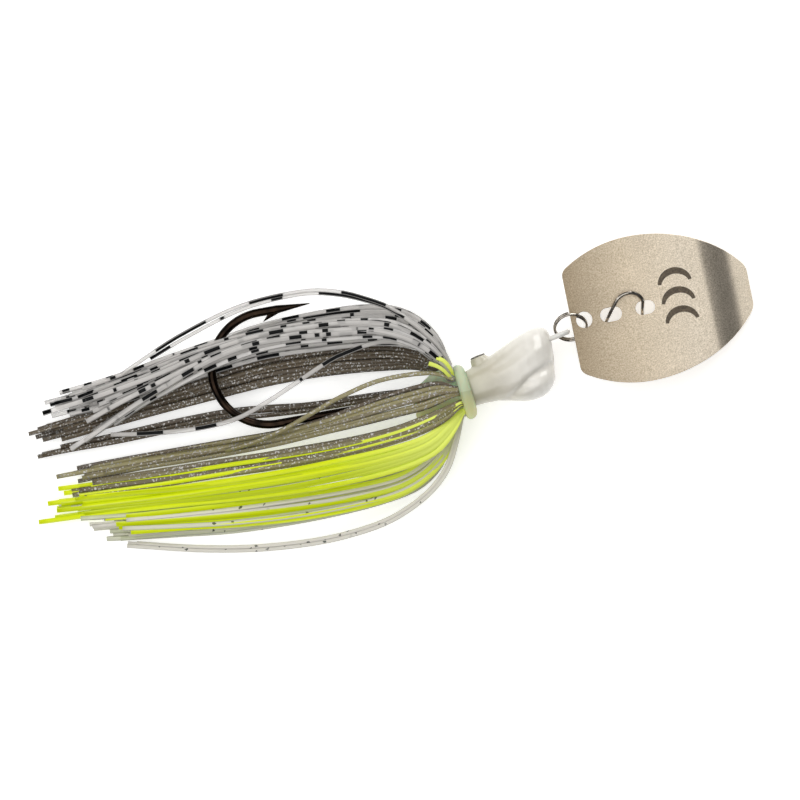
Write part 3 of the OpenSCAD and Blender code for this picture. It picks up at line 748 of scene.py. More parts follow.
pearl_shade = add(pearl, "ShaderNodeValToRGB", {"Fac": pearl_across.outputs["X"]}, [
    (0.0, grey(0.68)), (0.16, grey(1.0)), (0.84, grey(1.0)), (1.0, grey(0.68))])
pearl_rubber = add(pearl, "ShaderNodeMix", {
    "Factor": 1.0, 6: pearl_tone.outputs["Color"], 7: pearl_shade.outputs["Color"]},
    data_type="RGBA", blend_type="MULTIPLY")
pearl_colour = add(pearl, "ShaderNodeMix", {
    "Factor": pearl_fleck.outputs["Result"], 6: pearl_rubber.outputs[2], 7: linear("#5a5c52")},
    data_type="RGBA")
pearl_surface = add(pearl, "ShaderNodeBsdfPrincipled", {
    "Base Color": pearl_colour.outputs[2], "Alpha": 0.74, "Roughness": 0.3, "IOR": 1.41})
add(pearl, "ShaderNodeOutputMaterial", {"Surface": pearl_surface.outputs["BSDF"]})
print(pearl.name, "ready")

# %% [markdown]
# ## A smooth path through a few points
# Every strand follows a curve through a few given places. A Catmull-Rom spline passes
# through its points, so it goes exactly where it is told. The points may carry any numbers:
# three for a place, and two more for how wide and how deep the lock is there.

# %% Draw a smooth path
STEPS_PER_SPAN = 24


def smooth_path(stations):
    rows = np.array(stations, float)
    rows = np.vstack([2 * rows[0] - rows[1], rows, 2 * rows[-1] - rows[-2]])
    path = []
    for a, b, c, d in zip(rows, rows[1:], rows[2:], rows[3:]):
        for t in np.arange(STEPS_PER_SPAN) / STEPS_PER_SPAN:
            path.append(0.5 * (2 * b + (c - a) * t + (2 * a - 5 * b + 4 * c - d) * t ** 2
                               + (3 * b - a - 3 * c + d) * t ** 3))
    path.append(rows[-2])
    return np.array(path)


def distances(path):
    steps = np.linalg.norm(np.diff(path[:, :3], axis=0), axis=1)
    return np.concatenate([[0], np.cumsum(steps)])


def sample(path, at):
    """The rows of the path at those distances from its start."""
    along = distances(path)
    return np.stack([np.interp(at, along, path[:, k]) for k in range(path.shape[1])], axis=1)


def unit(vectors):
    return vectors / np.maximum(np.linalg.norm(vectors, axis=-1, keepdims=True), 1e-9)


print("a straight 10 mm path measures", distances(smooth_path([(0, 0, 0), (5, 0, 0), (10, 0, 0)]))[-1])

# %% [markdown]
# ## One strip of rubber
# A strip is a flat section carried along its path. The section has eight corners, a rectangle
# with its edges just broken, because a slitting knife leaves them nearly sharp. The strip
# lies flat on the lock, and may roll slowly about its own length. Near the collar it is
# stretched tight, so it is narrower there. Rings stand closer together near the root, where
# it bends hardest. No corner goes below the table.

# %% Sweep a strip
STRIP_DEPTH = 0.5
RINGS = 46
RING_PLACES = (np.arange(RINGS) / (RINGS - 1)) ** 1.35
CORNERS = np.array([(1, -0.55), (1, 0.55), (0.82, 1), (-0.82, 1),
                    (-1, 0.55), (-1, -0.55), (-0.82, -1), (0.82, -1)])
SIDES = len(CORNERS)
LOWEST_Z = -5.48
TIGHT_LENGTH = 6
TIGHT_WIDTH = 0.65
# on the sheet, a strip's map stops just short of its far edge, where the next strip begins
MAP_SHARE = 0.96


def strip_frames(path):
    """The directions along the strip, across it and up from it."""
    along = unit(np.gradient(path, axis=0))
    across = unit(np.cross((0, 0, 1), along))
    return along, across, np.cross(along, across)


def sweep_strip(path, roll, width, number, sheet_x, sheet_y, print_stretch=1.0):
    """Vertices in mm, quads, and the two maps of one strip."""
    along, across, up = strip_frames(path)
    turn = roll[:, None]
    flat = across * np.cos(turn) + up * np.sin(turn)
    lift = up * np.cos(turn) - across * np.sin(turn)
    length = distances(path)
    tight = np.clip(length / TIGHT_LENGTH, 0, 1)[:, None] * (1 - TIGHT_WIDTH) + TIGHT_WIDTH
    corners = (path[:, None] + flat[:, None] * (CORNERS[:, :1] * width / 2) * tight[:, None]
               + lift[:, None] * (CORNERS[:, 1:] * STRIP_DEPTH / 2) * tight[:, None])
    corners[:, :, 2] = np.maximum(corners[:, :, 2], LOWEST_Z)
    quads = []
    for start in range(0, SIDES * (RINGS - 1), SIDES):
        for k in range(SIDES):
            following = (k + 1) % SIDES
            quads.append((start + k, start + following, start + SIDES + following, start + SIDES + k))
    # each cut end is closed with three quads
    for start, flip in ((0, True), (SIDES * (RINGS - 1), False)):
        for end in ((0, 1, 4, 5), (1, 2, 3, 4), (0, 5, 6, 7)):
            quads.append(tuple(start + k for k in (reversed(end) if flip else end)))
    across_place = (CORNERS[:, 0] + 1) / 2
    strip_map = np.stack([np.tile(across_place, RINGS), np.full(RINGS * SIDES, number)], axis=1)
    sheet_map = np.stack([np.tile(sheet_x + across_place * MAP_SHARE * STRIP_WIDTH, RINGS),
                          np.repeat(sheet_y + length * print_stretch, SIDES)], axis=1)
    return corners.reshape(-1, 3), quads, strip_map, sheet_map


print("ring spacing grows to", round(float(RING_PLACES[-1] - RING_PLACES[-2]), 3), "of the length")

# %% [markdown]
# ## From strips to a piece
# All strips of one colour in a lock become one mesh, because they share a finish and move
# together. Each map is stored per face corner.

# %% Join strips into one piece
def strips_piece(name, strips, material):
    points, quads, strip_maps, sheet_maps, start = [], [], [], [], 0
    for strip_points, strip_quads, strip_map, sheet_map in strips:
        points.append(strip_points)
        quads += [tuple(start + i for i in quad) for quad in strip_quads]
        strip_maps.append(strip_map)
        sheet_maps.append(sheet_map)
        start += len(strip_points)
    points = (np.concatenate(points) + np.array(COLLAR_ORIGIN)) / 1000
    mesh = bpy.data.meshes.new(name)
    mesh.from_pydata(points.tolist(), [], quads)
    corner_point = np.zeros(len(mesh.loops), int)
    mesh.loops.foreach_get("vertex_index", corner_point)
    for map_name, maps in ((SHEET_MAP, sheet_maps), (STRIP_MAP, strip_maps)):
        layer = mesh.uv_layers.new(name=map_name)
        values = np.concatenate(maps)[corner_point]
        layer.data.foreach_set("uv", values.astype(np.float32).ravel())
    mesh.materials.append(material)
    mesh.shade_smooth()
    return show(name, mesh)


print("section:", STRIP_WIDTH, "x", STRIP_DEPTH, "mm")

# %% [markdown]
# ## Filling a lock
# A lock is a bundle of strips that leaves the collar at one angle. Its stations say where its
# middle runs, how wide and how deep it is. The strips lie side by side in layers. Each layer
# is written as a row of letters, one for each strip, from the hook's side to the belly's
# side: b for barred, s for smoke, c for chartreuse, p for pearl. A strip never lies quite
# straight, so each wanders a little, rolls a little, and is cut at a length of its own.

# %% Fill a lock with strips
SILICONES = {"b": ("barred", barred, "barred_silicone"),
             "s": ("smoke", smoke, "smoke_silicone"),
             "c": ("chartreuse", chartreuse, "chartreuse_silicone"),
             "p": ("pearl", pearl, "pearl_silicone")}
# the outer strips' middles stay this far inside the lock, in mm
SIDE_ROOM = 0.4
# strips of the next layer, the next lock or a loose strip come from another part of the sheet
LAYER_STRIPS = 40
LOCK_SHIFT = 13
LOOSE_STRIPS = 11
# a lock's first two stations: how far forward of the flange's back, and how far out
ROOT_X = -0.55
ROOT_RADIUS = 4.45
ROOT_STEPS = ((0.25, 4.35), (-0.5, 4.55))


def loose_path(middle, offset_across, offset_up, wander, draw):
    """A path beside the middle of the lock, with slow waves that grow towards the tip."""
    along, across, up = strip_frames(middle[:, :3])
    t = np.linspace(0, 1, len(middle))
    grow = wander * t ** 0.8
    wave = grow * np.sin(2 * np.pi * (draw.uniform(0.5, 1.3) * t + draw.random()))
    ripple = 0.3 * grow * np.sin(2 * np.pi * (draw.uniform(1.5, 3) * t + draw.random()))
    return (middle[:, :3] + across * (offset_across + wave)[:, None]
            + up * (offset_up + ripple)[:, None])


def slow_roll(draw, amount):
    t = np.linspace(0, 1, RINGS)
    turns = draw.uniform(0.3, 0.9) * t + draw.random()
    return amount * t * (draw.gauss(0, 0.6) + 0.8 * np.sin(2 * np.pi * turns))


def fill_lock(stations, layers, seed, wander=0.35, trim=0.1, roll=0.5, tone=(0, 1)):
    """The strips of one lock, as a list for each colour."""
    draw = random.Random(seed)
    path = smooth_path(stations)
    length = distances(path)[-1]
    strips = {}
    for level, row in enumerate(layers):
        depth_place = (2 * level + 1) / len(layers) - 1
        for lane, colour in enumerate(row):
            width_place = (2 * lane + 1) / len(row) - 1 + draw.uniform(-0.5, 0.5) / len(row)
            cut = length * (1 - trim * draw.random() ** 0.8)
            middle = sample(path, RING_PLACES * cut)
            half_width = np.maximum(middle[:, 3] - SIDE_ROOM, 0)
            half_depth = np.maximum(middle[:, 4] - STRIP_DEPTH / 2, 0) * math.sqrt(1 - 0.5 * width_place ** 2)
            line = loose_path(middle, width_place * half_width, depth_place * half_depth, wander, draw)
            rolled = slow_roll(draw, roll)
            width = STRIP_WIDTH * draw.uniform(0.88, 1.08)
            number = draw.uniform(*tone)
            sheet_x = (lane + LAYER_STRIPS * level) * STRIP_WIDTH
            sheet_y = draw.gauss(0, 1.6) + seed * LOCK_SHIFT
            strips.setdefault(colour, []).append(sweep_strip(line, rolled, width, number, sheet_x, sheet_y))
    return strips


def single_strip(route, seed, width=STRIP_WIDTH, roll=0.5, print_stretch=1.0):
    draw = random.Random(seed)
    path = smooth_path(route)
    line = sample(path, RING_PLACES * distances(path)[-1])
    rolled = slow_roll(draw, roll)
    sheet_x = seed * LOOSE_STRIPS * STRIP_WIDTH
    return sweep_strip(line, rolled, width, draw.random(), sheet_x, 0.0, print_stretch)


def root(angle, half_width, half_depth):
    """The first two stations of a lock, behind the collar's leaning flange."""
    a = math.radians(angle)
    x = ROOT_X - ROOT_RADIUS * math.cos(a) * math.tan(COLLAR_LEAN)
    return [(x + forward, radius * math.cos(a) + NECK_Y, radius * math.sin(a), half_width, half_depth)
            for forward, radius in ROOT_STEPS]


print("silicones:", [name for name, _, _ in SILICONES.values()])

# %% [markdown]
# ## Where each strip belongs
# A lock is replaced by its strips, and the imported lock is hidden. Strips of a lock that
# belongs to the head ride on it; the others are fixed where they lie.

# %% Plant strips on the lure
planted = {}


def plant(name, strips, body, *nodes):
    for colour, some in strips.items():
        title, material, slot = SILICONES[colour]
        piece = strips_piece(f"{name}_{title}", some, material)
        if body == "head":
            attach(piece, "head")
        else:
            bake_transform(piece)
        if nodes:
            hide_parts(*nodes)
        planted[piece.name] = len(some)


# %% [markdown]
# ## The back of the skirt
# The barred lock springs out over the collar in a round shoulder, then runs back past the
# hook, under its point. A second, thinner lock lies over the hook's bend. Smoke strips lie
# below and inside them.

# %% Grow the back of the skirt
BARRED_BACK = root(0, 0.6, 1.45) + [
    (-3, 8.8, -0.2, 1.6, 2.3), (-5.8, 11.9, -0.6, 3, 2.5), (-10, 14.4, -1.4, 4, 2),
    (-16, 15.7, -2.6, 4.3, 1.5), (-25, 16.3, -3.9, 4.1, 1.2), (-35, 16.3, -4, 3.5, 1.2),
    (-45, 15, -4.2, 3.1, 1.1), (-55, 13.5, -4.2, 3.1, 1.1), (-66, 11.8, -4.2, 2.9, 1.1),
    (-79, 10.8, -4.3, 2.6, 1)]
BARRED_OVER = root(46, 0.9, 0.85) + [
    (-3.4, 7.4, 4.9, 1.3, 0.8), (-7, 11.6, 5.8, 1.8, 0.7), (-12, 14.6, 6.1, 2, 0.7),
    (-20, 16, 5.9, 2, 0.7), (-30, 16.6, 5, 2, 0.7), (-38, 16.5, 3.8, 1.9, 0.7),
    (-45, 16, 2.5, 1.8, 0.7), (-52, 14.8, 0.9, 1.9, 0.7), (-60, 12.8, -1.6, 2.2, 0.6),
    (-74, 10, -2.3, 2.6, 0.5)]
SMOKE_BACK = root(-44, 0.85, 0.85) + [
    (-3.5, 5.2, -3.7, 1.3, 0.9), (-7, 7.4, -3.9, 1.9, 1), (-12, 8.8, -3.9, 2.5, 1.1),
    (-20, 9.8, -4, 2.7, 1.2), (-28, 10.2, -4, 2.7, 1.2), (-36, 10.2, -4, 2.8, 1.2),
    (-44, 9.5, -4.1, 2.6, 1.1), (-54, 8.5, -4.2, 2.2, 1.1), (-64, 7.6, -4.2, 2.1, 1),
    (-84, 5.6, -4.4, 2, 0.9)]

plant("barred_back", fill_lock(BARRED_BACK, ["bbbbbbbbb", "bbbbbbbbbb", "bbbbbbbbbbb"], seed=3, trim=0.12),
      "skirt_back", "skirt_barred_back")
plant("barred_over", fill_lock(BARRED_OVER, ["bbbbb", "bbbbbb"], seed=7, trim=0.14),
      "skirt_back", "skirt_barred_over")
plant("smoke_back", fill_lock(SMOKE_BACK, ["sssss", "ssssss", "ssssss"], seed=11, wander=0.3, tone=(0, 0.5)),
      "skirt_back", "skirt_smoke_back")
print(planted)

# %% [markdown]
# ## The middle of the skirt
# Smoke strips leave the collar's side that faces up and the side that lies on the table. The
# upper ones lie over the hook's shank.

# %% Grow the middle of the skirt
SMOKE_MIDDLE = root(-88, 1, 0.6) + [
    (-5, 1, -4.5, 1, 0.7), (-10, 1.6, -4.3, 1, 0.9), (-16, 2, -4, 0.9, 1), (-28, 2.3, -3.9, 1, 1.1),
    (-36, 3, -3.9, 1.3, 1.1), (-44, 3.6, -4, 1.4, 1.1), (-54, 3.5, -4.1, 1.4, 1.1),
    (-66, 3, -4.2, 1.3, 1), (-76, 2.8, -4.3, 1.1, 0.9), (-84, 2.6, -4.4, 1.2, 0.8)]
SMOKE_SIDE = root(85, 1.3, 0.6) + [
    (-4, 0.6, 4.9, 2.5, 0.6), (-8, 0.2, 4.8, 2.9, 0.7), (-14, -0.3, 4.2, 2.7, 0.7),
    (-20, -1, 3.2, 2.3, 0.7), (-25, -1.6, 2.1, 1.9, 0.7), (-30, -2, 0.4, 1.7, 0.8),
    (-36, -2.3, -1.8, 1.7, 0.9), (-44, -2.3, -3.6, 1.9, 0.9), (-54, -2.3, -4.2, 2, 1),
    (-66, -2.3, -4.3, 1.9, 1), (-80, -2.6, -4.4, 1.7, 0.9)]

plant("smoke_middle", fill_lock(SMOKE_MIDDLE, ["sss", "sss"], seed=17, wander=0.25, tone=(0, 0.5)),
      "head", "skirt_smoke_middle")
plant("smoke_side", fill_lock(SMOKE_SIDE, ["sssss", "ssssss"], seed=19, wander=0.3, trim=0.14, tone=(0.3, 1)),
      "head", "skirt_smoke_side")
print(planted)

# %% [markdown]
# ## The belly of the skirt
# Smoke and chartreuse strips alternate along the top of the belly. Below them comes solid
# chartreuse, then chartreuse over pearl, and last a narrow ribbon of pearl that swings wide.

# %% Grow the belly of the skirt
SMOKE_BELLY = root(117, 0.95, 0.65) + [
    (-4, -3.6, 4.7, 1.6, 0.6), (-9, -4.9, 4.4, 1.9, 0.7), (-15, -5.8, 3.4, 1.9, 0.8),
    (-24, -6.4, 1.6, 2, 0.9), (-36, -6.5, -1.2, 2.1, 0.9), (-47, -6.3, -3.2, 2.1, 1),
    (-60, -6, -4.2, 2, 1), (-80, -5.2, -4.4, 1.8, 0.9)]
CHARTREUSE_TOP = root(146, 0.75, 0.8) + [
    (-3.2, -6.1, 3.6, 1.5, 0.9), (-7, -8.6, 4.2, 2.2, 0.9), (-12, -9.9, 3.7, 2.5, 0.9),
    (-20, -10.7, 2.5, 2.7, 0.9), (-32, -11, 0.5, 2.8, 0.9), (-45, -10.6, -1.8, 2.7, 0.9),
    (-58, -9.8, -3.2, 2.5, 0.9), (-70, -8.9, -4, 2.4, 0.9), (-84, -8.1, -4.3, 2.3, 0.9)]
CHARTREUSE_LOW = root(207, 0.7, 0.8) + [
    (-3.6, -8.6, -2.3, 1.6, 0.9), (-7.6, -12.4, -1.6, 2.1, 1), (-13, -15, -1, 2.5, 1),
    (-20, -16, -1.3, 2.7, 0.9), (-32, -16.2, -2, 2.8, 0.8), (-45, -15.6, -2.5, 2.7, 0.8),
    (-58, -14.4, -2.7, 2.5, 0.8), (-78, -12.2, -2.9, 2.2, 0.7)]
PEARL_BELLY = root(237, 0.85, 0.75) + [
    (-4.2, -8, -4.2, 1.8, 0.7), (-8.6, -12.9, -4.5, 2.7, 0.7), (-15, -15.4, -4.7, 3.1, 0.7),
    (-28, -16.4, -4.7, 3.2, 0.7), (-45, -16, -4.7, 3.2, 0.7), (-58, -14.8, -4.7, 3, 0.7),
    (-74, -13.2, -4.7, 2.8, 0.7)]
PEARL_KEEL = root(177, 0.6, 0.95) + [
    (-2.6, -9, -0.3, 0.9, 1), (-5.4, -14, -0.6, 1, 1), (-10, -18, -1, 1, 0.9),
    (-17, -21.2, -1.6, 1, 0.9), (-24.5, -22.6, -2.4, 1, 0.9), (-33, -23, -3.2, 1, 0.8),
    (-43.6, -22.3, -4, 1, 0.8), (-54, -20.6, -4.4, 1, 0.8), (-64, -18.2, -4.5, 1, 0.8),
    (-70, -16.6, -4.5, 1.1, 0.8)]

plant("smoke_belly", fill_lock(SMOKE_BELLY, ["scscss", "sscscs"], seed=23, wander=0.3, tone=(0.5, 1)),
      "skirt_belly", "skirt_smoke_belly")
plant("chartreuse_top",
      fill_lock(CHARTREUSE_TOP, ["cpccccc", "ccccpcc", "ccccccc"], seed=29, wander=0.4, trim=0.13),
      "skirt_belly", "skirt_chartreuse_top")
plant("chartreuse_low", fill_lock(CHARTREUSE_LOW, ["pcpcpc", "cppcpc"], seed=31, wander=0.4, trim=0.16),
      "skirt_belly", "skirt_chartreuse_low")
plant("pearl_belly",
      fill_lock(PEARL_BELLY, ["ppppppp", "pppppppp"], seed=37, wander=0.3, trim=0.12, tone=(0, 0.7)),
      "skirt_belly", "skirt_pearl_belly")
plant("pearl_keel", fill_lock(PEARL_KEEL, ["p", "pp"], seed=41, wander=0.15, roll=0.3, tone=(0.8, 1)),
      "skirt_belly", "skirt_pearl_keel")
print(planted)

# %% [markdown]
# ## Strips that have sprung loose
# A few strips leave their lock: one pair stands high over the hook, two cross in front of it,
# and some of the barred ones run on over the smoke tips. Each has its own route. Two cut ends
# stand up in front of the sleeve, beside the collar.

# %% Lay the loose strips
HIGH_ROUTES = [
    [(-0.8, 5.4, 1.5), (-2, 8.6, 3.4), (-6, 14, 4), (-10, 17.9, 3.6), (-13.6, 20.2, 3.1),
     (-19.5, 22.9, 2.2), (-26.6, 24.2, 1.2), (-38.3, 23.6, -0.6), (-50.5, 20.2, -2.4),
     (-60, 16.2, -2.7), (-63, 14.8, -2.6)],
    [(-0.8, 4.8, 2.6), (-2.4, 8.8, 3.8), (-6.4, 14, 4.2), (-10.6, 17.9, 3.4), (-14.4, 20.1, 2.8),
     (-20, 22.4, 1.8), (-27, 23.7, 0.9), (-38, 22.9, -1), (-49.5, 19.6, -2.8), (-57, 16.8, -3.1)]]
CROSS_ROUTE = [
    (-0.8, 4.5, 2.9), (-2.4, 6.2, 3.9), (-6, 9.4, 4.2), (-12.8, 12, 4), (-20.8, 11, 3.9),
    (-25, 9.6, 3.7), (-30.5, 7.2, 3.4), (-36.4, 4.7, 3.2), (-42.3, 2.7, 2.4), (-48.2, 2.1, 0.4),
    (-54.3, 2.3, -1.8), (-61, 3, -2.4), (-67, 3.9, -2.6)]
SMOKE_ROUTE = [
    (-0.8, 2.5, 4.75), (-5.3, 4.6, 5), (-14.4, 4.9, 4.7), (-22.3, 3.2, 3.9), (-28.1, 1.2, 2.9),
    (-34, -0.9, 1.3), (-39.9, -2.3, -0.9), (-46, -3, -2.2)]
OVER_ROUTES = [
    [(-1, 3.2, 3.2), (-3.4, 7.4, 5.4), (-7, 11.4, 6.3), (-12, 14.2, 6.6), (-20, 15.4, 6.4),
     (-30, 16.2, 5.5), (-38, 16.2, 4.4), (-46, 14.6, 3.2), (-55, 11.2, 1.2), (-64, 7.2, -1.2),
     (-75, 2.6, -2.8)],
    [(-1, 3.1, 3.3), (-3.6, 7.2, 5.5), (-7.4, 11, 6.3), (-13, 13.6, 6.5), (-21, 14.8, 6.3),
     (-30, 15.4, 5.4), (-38, 15.2, 4.4), (-46, 13.8, 3.1), (-54, 11.2, 1.4), (-62, 8.4, -0.8),
     (-70, 5.2, -2.4)],
    [(-1, 3, 3.4), (-3.4, 7, 5.6), (-7.8, 10.6, 6.2), (-13, 13, 6.3), (-21, 14, 6.1),
     (-30, 14.8, 5.2), (-38, 14.4, 4.2), (-46, 12.8, 2.8), (-54, 10.4, 0.8), (-60, 8.4, -1),
     (-66, 5.8, -2.4)],
    [(-1, 3.4, 3), (-3, 7.8, 5.2), (-6.8, 12.2, 6.2), (-12, 15.2, 6.5), (-20, 16.8, 6.3),
     (-30, 17.4, 5.4), (-38, 17.2, 4.2), (-46, 16, 2.9), (-56, 13.6, 0.8), (-68, 11.6, -1.6),
     (-79, 10.2, -2.8)],
    [(-1, 2.9, 3.5), (-3.2, 7, 5.8), (-7, 10.8, 6.6), (-13, 13.8, 6.8), (-21, 15, 6.6),
     (-30, 15.8, 5.7), (-38, 15.8, 4.7), (-46, 14.2, 3.4), (-54, 11.4, 1.8), (-63, 7.9, -0.6),
     (-72, 3.6, -2.2)],
    [(-1, 3, 3.4), (-3.6, 7.4, 5.8), (-7.6, 11.4, 6.6), (-14, 14.4, 6.8), (-22, 15.8, 6.5),
     (-31, 16.4, 5.5), (-39, 15.9, 4.5), (-47, 14.5, 3.1), (-56, 12, 1.2), (-64, 9.6, -0.6),
     (-71, 7.2, -1.8)]]

ROOT_ROUTES = [
    [(-0.9, 3.3, 3.3), (-1, 4.2, 4.6), (-1.5, 5.4, 5.5), (-2.2, 6.4, 5.8), (-3.4, 7.2, 5.9)],
    [(-1.2, 2.6, 4), (-1.8, 3.6, 5.2), (-2.6, 4.7, 5.9), (-3.6, 5.6, 6.1), (-5, 6.4, 6.1)]]

# the high pair is stretched, so it is narrower and its bars look longer
high_strips = [single_strip(route, seed, width=0.7, print_stretch=0.6)
               for seed, route in zip((47, 49), HIGH_ROUTES)]
plant("barred_high", {"b": high_strips}, "skirt_back", "strand_barred_high")
plant("barred_cross", {"b": [single_strip(CROSS_ROUTE, seed=51)]}, "head", "strand_barred_cross")
plant("smoke_cross", {"s": [single_strip(SMOKE_ROUTE, seed=53)]}, "head", "strand_smoke_cross")
over_strips = [single_strip(route, seed, width=1.0) for seed, route in enumerate(OVER_ROUTES, 57)]
plant("barred_loose", {"b": over_strips}, "skirt_back")
root_strips = [single_strip(route, seed, width=0.8, roll=0.2) for seed, route in enumerate(ROOT_ROUTES, 71)]
plant("root_tuft", {"c": root_strips}, "skirt_back")
print(sum(planted.values()), "strips in", len(planted), "pieces")

# %% [markdown]
# ## The collar
# The skirt is held by a moulded silicone collar: a fat rounded flange in front, and a thin
# sleeve behind it that is pushed over the head's spigot. It is turned on a lathe of code: a
# profile is carried round the axis. The sleeve was slit by hand, so its end is uneven, and
# the strips that stand on it pull its upper side open.

# %% Turn the collar
AROUND = 96
FLANGE_X = 0.55
FLANGE_PROFILE = [
    (1.5, 2.75), (1.52, 3.4), (1.44, 4.3), (1.16, 4.86), (0.75, 5.2), (0.2, 5.36), (-0.3, 5.28),
    (-0.66, 4.97), (-0.82, 4.5), (-0.86, 4.0)]
SLEEVE_STEPS = [-1.3, -2, -3, -4, -5, -6, -7, -8, -9.1]
SLEEVE_OUTSIDE = 3.5
SLEEVE_INSIDE = 2.85


def pull(x, turn):
    """How far the strips pull the sleeve open, at a distance and an angle from the hook's side."""
    upper = max(0.0, math.cos(turn)) ** 2
    # by 1.9 mm at most, where the strips stand highest on it, and less within 3.4 mm of there
    return 1.9 * upper * math.exp(-((x + 3.6) / 3.4) ** 2)


def sleeve_end(turn):
    """How far the slit end of the sleeve runs off its true length."""
    return 0.55 * math.sin(2 * turn + 0.6) + 0.25 * math.sin(5 * turn)


def collar_place(x, radius, turn, soft):
    """A place on the leaning collar. Only the soft sleeve is pulled open and cut unevenly."""
    away = radius + (pull(x, turn) if soft else 0)
    # the last 4 mm of the sleeve take up its uneven end
    along = x + (sleeve_end(turn) * max(0.0, (-x - 5) / 4) if soft else 0)
    across = away * math.cos(turn)
    return place(FLANGE_X + along * math.cos(COLLAR_LEAN) - across * math.sin(COLLAR_LEAN),
                 NECK_Y + along * math.sin(COLLAR_LEAN) + across * math.cos(COLLAR_LEAN),
                 away * math.sin(turn))


collar_profile = [(x, radius, False) for x, radius in FLANGE_PROFILE]
collar_profile += [(x, SLEEVE_OUTSIDE, True) for x in SLEEVE_STEPS]
collar_profile += [(x, SLEEVE_INSIDE, True) for x in reversed(SLEEVE_STEPS)]
collar = turned_piece("collar", [
    [collar_place(x, radius, 2 * math.pi * k / AROUND, soft) for k in range(AROUND)]
    for x, radius, soft in collar_profile])
print("collar faces:", len(collar.data.polygons))

# %% [markdown]
# ## Translucent collar rubber
# The same rubber as the strips, but thick and undyed. What shows through it is painted into
# its colour: grey-green on the side where smoke lies behind it, and yellow-green over the
# chartreuse. Thick silicone glows from inside, which is subsurface scattering.

# %% Mould the collar rubber
collar_rubber = new_material("undyed translucent silicone")
rubber_coords = add(collar_rubber, "ShaderNodeTexCoord")
rubber_place = add(collar_rubber, "ShaderNodeSeparateXYZ", {"Vector": rubber_coords.outputs["Object"]})
rubber_side = add(collar_rubber, "ShaderNodeMapRange", {
    "Value": rubber_place.outputs["Y"], "From Min": place(0, -5, 0).y, "From Max": place(0, 5, 0).y})
rubber_cloud = add(collar_rubber, "ShaderNodeTexNoise", {
    "Vector": rubber_coords.outputs["Object"], "Scale": 600, "Detail": 2})
# the third stop moves the second one down to 0.5, so the tint changes in one step half way up
# painted light: the tint stands in for the colours shining through from behind, yellow-green on the belly
# side and grey-green on the hook's side
rubber_painted_show_through = add(collar_rubber, "ShaderNodeValToRGB", {"Fac": rubber_side.outputs["Result"]}, [
    (0.1, linear("#e8ebac")), (0.95, linear("#6c8c8c")), (0.5, linear("#c9d6b4"))])
rubber_relief = add(collar_rubber, "ShaderNodeBump", {
    "Height": rubber_cloud.outputs["Fac"], "Strength": 0.3, "Distance": 0.0001})
rubber_surface = add(collar_rubber, "ShaderNodeBsdfPrincipled", {
    "Base Color": rubber_painted_show_through.outputs["Color"], "Alpha": 0.86, "Roughness": 0.36, "IOR": 1.41,
    "Subsurface Weight": 0.4, "Subsurface Scale": 0.002, "Normal": rubber_relief.outputs["Normal"]})
add(collar_rubber, "ShaderNodeOutputMaterial", {"Surface": rubber_surface.outputs["BSDF"]})
collar.data.materials.append(collar_rubber)
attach(collar, "head")
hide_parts("skirt_collar")
print(collar_rubber.name, "on", collar.name)

# %% [markdown]
# ## A mark on the blade
# Blades often carry a mark burnt in with a laser. This one is plain decoration: three nested
# scallops, like fish scales. Each is a flat band, raised by about a hundredth of a millimetre
# so that it lies just on the steel. The band follows an arc, and its ends taper.

# %% Shape the mark
BLADE_HOLE = Vector((25.52, 9.28, 1.6))
BLADE_YAW = math.radians(1.2)
BLADE_PITCH = math.radians(2.3)
BLADE_TOP = 0.3
MARK_TOP = BLADE_TOP + 0.012
MARK_BOTTOM = BLADE_TOP - 0.05
MARK_X = 18.3
MARK_MIDDLES = (3.1, -0.6, -4.3)
MARK_RADIUS = 3.0
MARK_BAND = 1.25
MARK_REACH = 80
MARK_STEPS = 32
blade_turn = Matrix.Rotation(BLADE_YAW, 3, "Z") @ Matrix.Rotation(BLADE_PITCH, 3, "Y")


def on_blade(x, y, z):
    """A place on the blade, from its first hole, in mm."""
    return place(*(BLADE_HOLE + blade_turn @ Vector((x, y, z))))


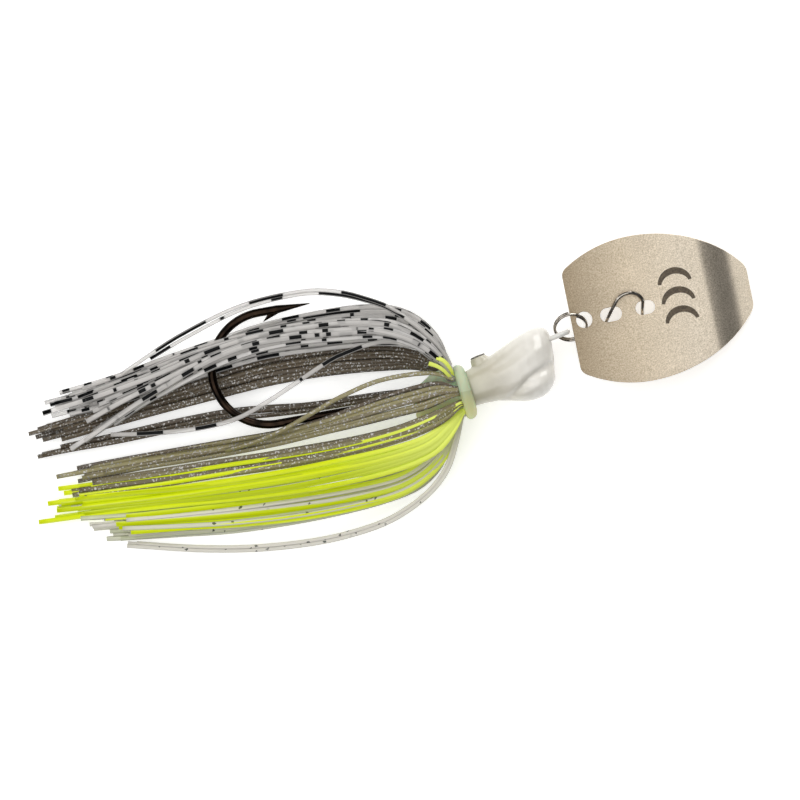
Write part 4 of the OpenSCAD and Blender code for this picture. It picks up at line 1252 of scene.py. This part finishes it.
mark_form = bmesh.new()
for middle_y in MARK_MIDDLES:
    edges = []
    for k in range(MARK_STEPS + 1):
        turn = math.radians(-MARK_REACH + 2 * MARK_REACH * k / MARK_STEPS)
        half = MARK_BAND / 2 * (0.35 + 0.65 * math.cos(turn * 0.95))
        x = MARK_X + MARK_RADIUS * math.sin(turn)
        y = middle_y + MARK_RADIUS * math.cos(turn) * 0.9
        edges.append([[mark_form.verts.new(on_blade(x + out * math.sin(turn), y + out * math.cos(turn), z))
                       for z in (MARK_TOP, MARK_BOTTOM)] for out in (half, -half)])
    for one, other in zip(edges, edges[1:]):
        (a, a_low), (b, b_low) = one
        (c, c_low), (d, d_low) = other
        for face in ((a, c, d, b), (a_low, b_low, d_low, c_low),
                     (a, a_low, c_low, c), (b, d, d_low, b_low)):
            mark_form.faces.new(face)
    for (a, a_low), (b, b_low) in (edges[0], edges[-1]):
        mark_form.faces.new((a, b, b_low, a_low))
bmesh.ops.recalc_face_normals(mark_form, faces=mark_form.faces)
blade_mark = piece_from("blade_mark", mark_form)
print("mark faces:", len(blade_mark.data.polygons))

# %% [markdown]
# ## Burnt oxide
# The laser burns the steel's skin to a dull brown oxide, rougher than the blasted steel and
# hardly metallic. It doesn't burn evenly, so its brown varies over less than a millimetre.

# %% Burn the mark
burnt_oxide = new_material("laser burnt oxide")
burnt_coords = add(burnt_oxide, "ShaderNodeTexCoord")
burnt_grain = add(burnt_oxide, "ShaderNodeTexNoise", {
    "Vector": burnt_coords.outputs["Object"], "Scale": 2600, "Detail": 2})
burnt_tint = add(burnt_oxide, "ShaderNodeValToRGB", {"Fac": burnt_grain.outputs["Fac"]}, [
    (0.3, linear("#4a4034")), (0.7, linear("#6a5d4c"))])
burnt_surface = add(burnt_oxide, "ShaderNodeBsdfPrincipled", {
    "Base Color": burnt_tint.outputs["Color"], "Roughness": 0.55, "Metallic": 0.3})
add(burnt_oxide, "ShaderNodeOutputMaterial", {"Surface": burnt_surface.outputs["BSDF"]})
blade_mark.data.materials.append(burnt_oxide)
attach(blade_mark, "blade")
print(burnt_oxide.name, "on", blade_mark.name)
